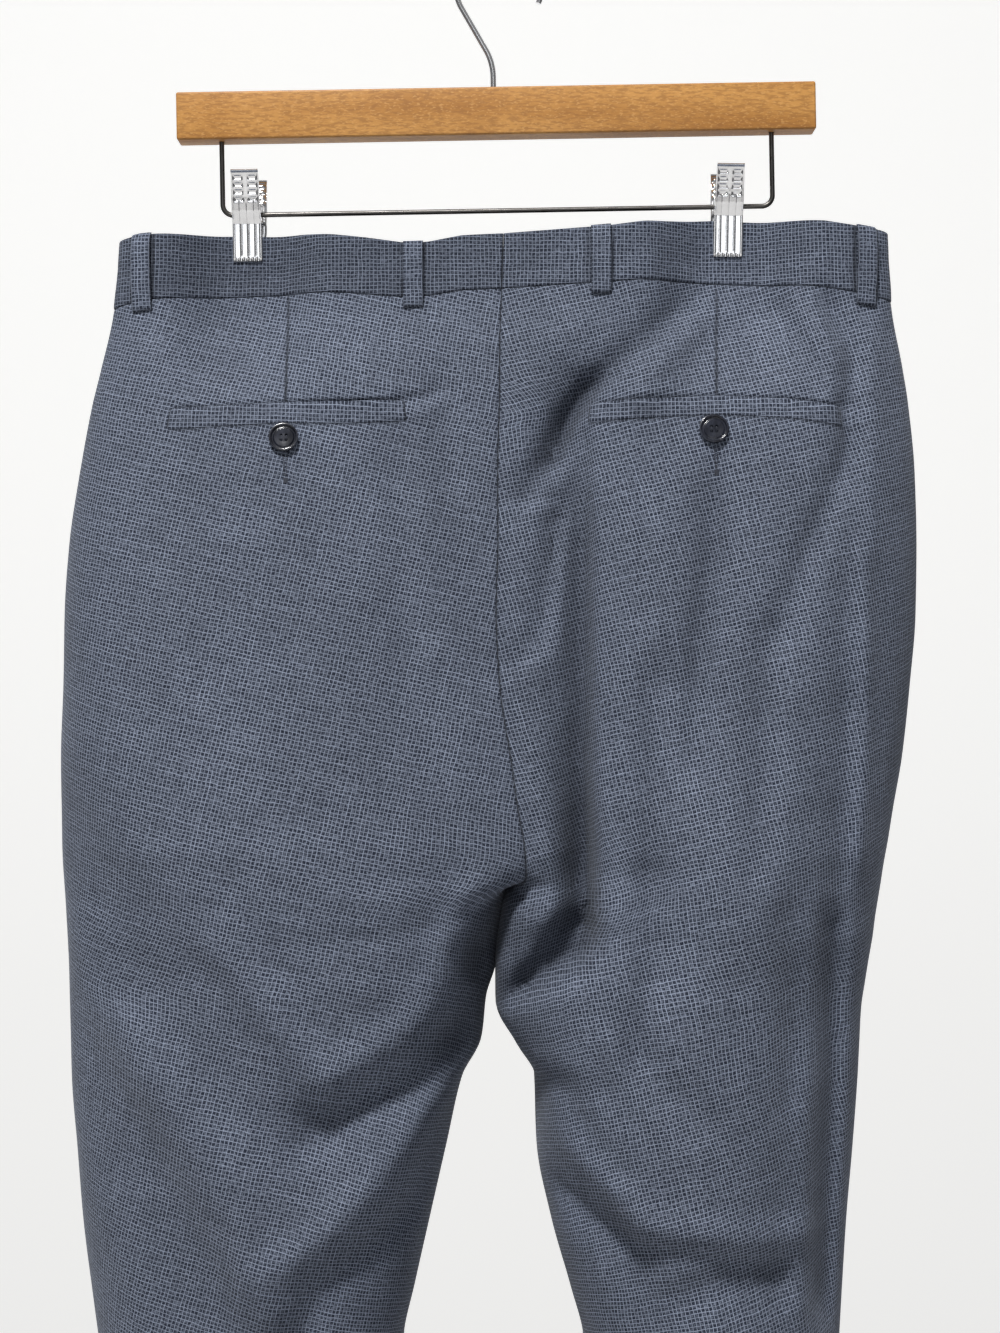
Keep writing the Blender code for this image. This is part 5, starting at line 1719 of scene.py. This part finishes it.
@dataclass
class Hanger:
    """The wooden bar, the wire hook and the wire rail."""

    finishes: Finishes

    @staticmethod
    def tilt() -> Matrix:
        """The hanger's swing about the hook's top."""
        return Matrix.Rotation(-HANGER_TILT, 4, "Y")

    def bar(self) -> None:
        """Plane a square bar, ease its edges and drill it for the wires."""
        middle, size = (BAR_MIDDLE, 0, BAR_TOP - BAR_HEIGHT / 2), (BAR_LENGTH, BAR_DEPTH, BAR_HEIGHT)
        piece = Bench.block("hanger_bar_beech", middle, size, self.finishes.timber)
        Bench.ease(piece, BAR_EDGE, 4)
        Bench.drill(piece, HOOK_WIRE + FIT, 2 * HOOK_IN_BAR, [(HOOK_SHANK_X, 0, BAR_TOP)])
        mouths = [(BAR_MIDDLE + a * RAIL_HALF, 0, BAR_TOP - BAR_HEIGHT) for a in (-1, 1)]
        Bench.drill(piece, RAIL_WIRE + FIT, 2 * RAIL_IN_BAR, mouths)
        Bench.settle(piece, self.tilt(), 30)
        ride_hard(piece, "timber", "hanger_bar")

    def hook_line(self) -> list:
        """Centre line of the hook, up from inside the bar and round to its tip."""
        middle_z = -(HOOK_BEND - HOOK_WIRE)
        arc = [
            Vector((HOOK_BEND * math.cos(a), 0, middle_z + HOOK_BEND * math.sin(a)))
            for a in np.linspace(math.pi + HOOK_LEAN, HOOK_TIP, 60)
        ]
        knee = Vector((HOOK_SHANK_X, 0, arc[0].z - (HOOK_SHANK_X - arc[0].x) / math.tan(HOOK_LEAN)))
        rise, fall = (arc[0] - knee).normalized(), Vector((0, 0, -1))
        bend = [
            knee + fall * HOOK_KNEE * (1 - u) ** 2 + rise * HOOK_KNEE * u ** 2
            for u in np.linspace(0, 1, 12)
        ]
        return [Vector((HOOK_SHANK_X, 0, BAR_TOP - HOOK_IN_BAR)), *bend, *arc]

    def rail_line(self) -> list:
        """Centre line of the wire that carries the clips."""
        top, low = BAR_TOP - BAR_HEIGHT + RAIL_IN_BAR, BAR_TOP - RAIL_DROP
        corner = [
            (RAIL_HALF - RAIL_BEND * (1 - math.cos(a)), 0, low + RAIL_BEND * (1 - math.sin(a)))
            for a in np.linspace(0, math.pi / 2, 12)
        ]
        right = [(RAIL_HALF, 0, top), *corner]
        left = [(-x, y, z) for x, y, z in right]
        return [(BAR_MIDDLE + x, y, z) for x, y, z in left + right[::-1]]

    def build(self) -> None:
        """Build the bar and both wires."""
        self.bar()
        for node, line, radius, finish, slot in (
            ("hanger_hook", self.hook_line(), HOOK_WIRE, self.finishes.chrome, "chrome"),
            ("hanger_rail", self.rail_line(), RAIL_WIRE, self.finishes.steel, "dark_steel"),
        ):
            piece = Bench.bend_wire(f"{node}_wire", line, radius, 6, finish)
            Bench.settle(piece, self.tilt(), 50)
            ride_hard(piece, slot, node)


@dataclass
class SpringClip:
    """A pressed clip: two fluted jaws on the rail and the spring between them.

    tip and top are its plates' lower and upper ends, from the rail, and askew is how far aside the
    upper end of the far jaw stands.
    """

    finishes: Finishes
    name: str
    x: float
    lean: float
    tip: float
    top: float
    askew: float
    width: float = 16.4
    taper: float = 0.07
    sheet: float = 0.9
    # inner side of a jaw, from its tip up: depth, height
    profile: tuple = ((2.8, -29.0), (2.8, -5.5), (6.0, 1.0), (8.2, 9.0), (13.5, 23.0), (14.7, 24.5))
    flutes: tuple = (-4.0, 0.0, 4.0)
    # flute_groove: depth and reach of the groove at each flute; strip_swell: of the strips between
    flute_groove: tuple = (0.24, 0.18)
    strip_swell: float = 0.035
    # what is pressed into the finger grip and the biting edge, and raised at the sides and the top
    grip_depth: float = 0.8
    tooth_depth: float = 0.7
    rim_height: float = 0.3
    lip_height: float = 1.2
    # ears: how far each jaw's two ears stand from the middle
    ears: tuple = ((Face.BACK, 7.6), (Face.FRONT, 6.3))
    ear_size: tuple = (0.8, 9.8, 7.6)
    ear_fit: float = 0.35

    def place(self) -> Matrix:
        """Where the clip hangs on the rail."""
        swing = math.sin(HANGER_TILT) * CLIP_PRESS_LEVEL
        hung = Matrix.Translation(Vector((self.x + swing, 0, BAR_TOP - RAIL_DROP)) * MM)
        return Hanger.tilt() @ hung @ Matrix.Rotation(self.lean, 4, "Y")

    def depth_at(self, z: float) -> float:
        """Depth of the jaw's inner side at a height."""
        return float(read_table([(height, depth) for depth, height in self.profile], z))

    def plate(self, face: Face) -> Piece:
        """Press one jaw: bend the plate, raise its flutes and grip marks, and thicken it.

        Args:
            face: Whether it lies on the garment's back or front.

        Returns:
            The jaw's plate.
        """
        sign = face.value
        Bench.clear()
        bpy.ops.mesh.primitive_grid_add(
            x_subdivisions=100, y_subdivisions=100, size=1, rotation=(math.pi / 2, 0, 0)
        )
        piece = Bench.take(f"clip_{self.name}_{face.word}_plate", self.finishes.chrome)
        bpy.ops.object.transform_apply(location=True, rotation=True, scale=True)
        for vertex in piece.data.vertices:
            z = self.tip + (vertex.co.z + 0.5) * (self.top - self.tip)
            depth = self.depth_at(z)
            x = vertex.co.x * (self.width - 0.6 - self.taper * max(0.0, depth - self.profile[0][0]))
            y = depth + self.sheet / 2 + self.relief(x, z)
            aside = self.askew * float(smooth_step(z, -22, -8)) if face is Face.FRONT else 0.0
            vertex.co = Vector((x + aside, sign * y, z)) * MM
        bpy.ops.object.mode_set(mode="EDIT")
        bpy.ops.mesh.select_all(action="SELECT")
        bpy.ops.mesh.normals_make_consistent(inside=False)
        Bench.clear()
        Bench.apply(piece, "SOLIDIFY", thickness=self.sheet * MM, offset=0.0)
        Bench.ease(piece, 0.25, 2, 60)
        return piece

    def relief(self, x: float, z: float) -> float:
        """How far the pressed marks stand out of the plate at a place.

        Args:
            x: Across, from the clip's middle.
            z: Up, from the rail.

        Returns:
            A height in millimetres, outwards.
        """
        flute_run = float(window(z, self.tip + 2.2, self.tip + 3.2, 5.6, 6.6))
        depth, reach = self.flute_groove
        grooves = sum(depth * math.exp(-((x - middle) / reach) ** 2) for middle in self.flutes)
        strip = self.strip_swell * math.cos(2 * math.pi * x / 4.0)
        total = -(grooves + strip) * flute_run
        for row in range(4):
            for column in (-1, 1):
                across = (x - column * 3.9) / 2.6
                up = (z - self.top + 3.6 + 3.7 * row) / 1.2
                total -= self.grip_depth * math.exp(-(across ** 6 + up ** 6))
        total += self.rim_height * math.exp(-((abs(x) - self.width / 2 + 0.8) / 0.5) ** 2)
        teeth = 0.5 + 0.5 * math.cos(2 * math.pi * x / 2.4)
        total -= self.tooth_depth * teeth * float(1 - smooth_step(z, self.tip + 0.4, self.tip + 2.4))
        total += self.lip_height * float(smooth_step(z, self.top - 1.3, self.top))
        return total

    def ear(self, face: Face, x: float) -> Piece:
        """Punch an ear that hangs on the rail.

        Args:
            face: The jaw it belongs to.
            x: Its place across the clip.

        Returns:
            The ear.
        """
        sign = face.value
        piece = Bench.block("ear", (x, sign * 1.6, 0.5), self.ear_size, self.finishes.chrome)
        Bench.pick(piece, 1, -0.9 * sign)
        bpy.ops.transform.resize(value=(1, 1, 0.7), center_override=(x * MM, sign * -3.3 * MM, 0.5 * MM))
        Bench.clear()
        Bench.ease(piece, 0.22, 2)
        Bench.drill(piece, RAIL_WIRE + self.ear_fit, 4, [(x, 0, 0)], (0, math.pi / 2, 0))
        return piece

    def jaw(self, face: Face, ear_x: float) -> None:
        """Build a whole jaw with its two ears.

        Args:
            face: The jaw's side of the garment.
            ear_x: How far its ears stand from the middle.
        """
        node = f"clip_{self.name}_{face.word}"
        parts = [self.plate(face), self.ear(face, -ear_x), self.ear(face, ear_x)]
        piece = Bench.join(parts, f"{node}_jaw")
        Bench.settle(piece, self.place(), 40)
        ride_hard(piece, "chrome", node)

    def spring(self) -> None:
        """Wind the spring round the rail."""
        turns, wire, radius, half = 8, 0.55, 2.9, 4.7
        steps = turns * 24
        around = [2 * math.pi * turns * n / steps for n in range(steps + 1)]
        line = [
            (-half + 2 * half * n / steps, radius * math.cos(angle), radius * math.sin(angle))
            for n, angle in enumerate(around)
        ]
        name = f"clip_{self.name}_spring"
        piece = Bench.bend_wire(f"{name}_coil", line, wire, 2, self.finishes.steel)
        Bench.settle(piece, self.place(), 50)
        ride_hard(piece, "dark_steel", name)

    def build(self) -> None:
        """Build both jaws and the spring."""
        for face, ear_x in self.ears:
            self.jaw(face, ear_x)
        self.spring()


@dataclass
class Studio:
    """A pale floor, a far white wall, soft lights and the camera."""

    floor_z: float = -1.262
    camera_place: tuple = (0.0011, -1.25, -0.4023)
    lens: float = 60.4

    def paper(self, name: str, size: float, place: tuple, turn: tuple, finish: Material) -> None:
        """Lay one sheet of studio paper."""
        Bench.clear()
        bpy.ops.mesh.primitive_plane_add(size=size, location=place, rotation=turn)
        Bench.take(name, finish)

    def soft_light(
        self, name: str, place: tuple, aim: tuple, size: float, power: float, colour: tuple
    ) -> None:
        """Hang one soft area light.

        Args:
            name: The light's name.
            place: Where it hangs.
            aim: What it points at.
            size: Its side in metres.
            power: Its power in watts.
            colour: Its colour.
        """
        data = bpy.data.lights.new(name, "AREA")
        data.size, data.energy, data.color = size, power, colour
        light = put(name, data)
        light.location = place
        light.rotation_euler = (Vector(aim) - Vector(place)).to_track_quat("-Z", "Y").to_euler()

    def build(self) -> None:
        """Set the stage, the lights, the sky and the camera."""
        self.paper("studio_floor", 5.0, (0, -1.0, self.floor_z), (0, 0, 0),
                   StudioPaper("pale_floor_paper", (0.58, 0.575, 0.57)).make())
        self.paper("studio_wall", 14.0, (0, 4.6, -0.4), (math.pi / 2, 0, 0),
                   StudioPaper("white_wall_paper", (0.86, 0.86, 0.85), 0.6).make())
        self.soft_light("key_light", (-0.85, -2.7, 3.6), (0, 0, -0.6), 0.8, 295, (1.0, 0.99, 0.975))
        self.soft_light("fill_light", (0.0, -2.9, -0.05), (0, 0, -0.45), 1.4, 9, (0.95, 0.97, 1.0))
        world = bpy.data.worlds.new("soft_sky")
        world.use_nodes = True
        tree = world.node_tree
        sky = tree.nodes["Background"]
        where = tree.nodes.new("ShaderNodeTexCoord")
        split = tree.nodes.new("ShaderNodeSeparateXYZ")
        ramp = tree.nodes.new("ShaderNodeValToRGB")
        tree.links.new(where.outputs["Generated"], split.inputs[0])
        tree.links.new(split.outputs["Z"], ramp.inputs[0])
        tree.links.new(ramp.outputs[0], sky.inputs["Color"])
        low, high = ramp.color_ramp.elements
        low.position, high.position = 0.12, 0.62
        low.color, high.color = (0.42, 0.42, 0.44, 1), (0.97, 0.98, 1.0, 1)
        sky.inputs["Strength"].default_value = 0.2
        scene = bpy.context.scene
        scene.world = world
        scene.view_settings.view_transform = "Standard"
        lens = bpy.data.cameras.new("front_camera")
        lens.lens, lens.sensor_width = self.lens, 36
        camera = put("front_camera", lens)
        camera.location = self.camera_place
        camera.rotation_euler = (math.pi / 2, 0, 0)
        scene.camera = camera


def dress_zip(finishes: Finishes) -> None:
    """Give the zip behind the fly its finish."""
    node = bpy.data.objects["fly_zip"]
    for slot in node.material_slots:
        slot.material = finishes.zip


def main() -> None:
    """Build every sub-assembly in order."""
    logging.basicConfig(level=logging.INFO, format="%(message)s", stream=sys.stdout)
    finishes = Finishes()
    Studio().build()
    Panels(finishes).build_all()
    Waistband(finishes).build_all()
    BeltLoops(finishes).build_all()
    for pocket in POCKETS:
        BackPocket(finishes, pocket).build()
    FrontClosure(finishes).build()
    dress_zip(finishes)
    Hanger(finishes).build()
    SpringClip(finishes, "left", x=CLIP_LEFT_X, lean=0.0, tip=-26.4, top=22.3, askew=2.2).build()
    SpringClip(
        finishes, "right", x=CLIP_RIGHT_X, lean=CLIP_RIGHT_LEAN, tip=-28.6, top=21.0, askew=-1.2
    ).build()


if __name__ == "__main__":
    main()
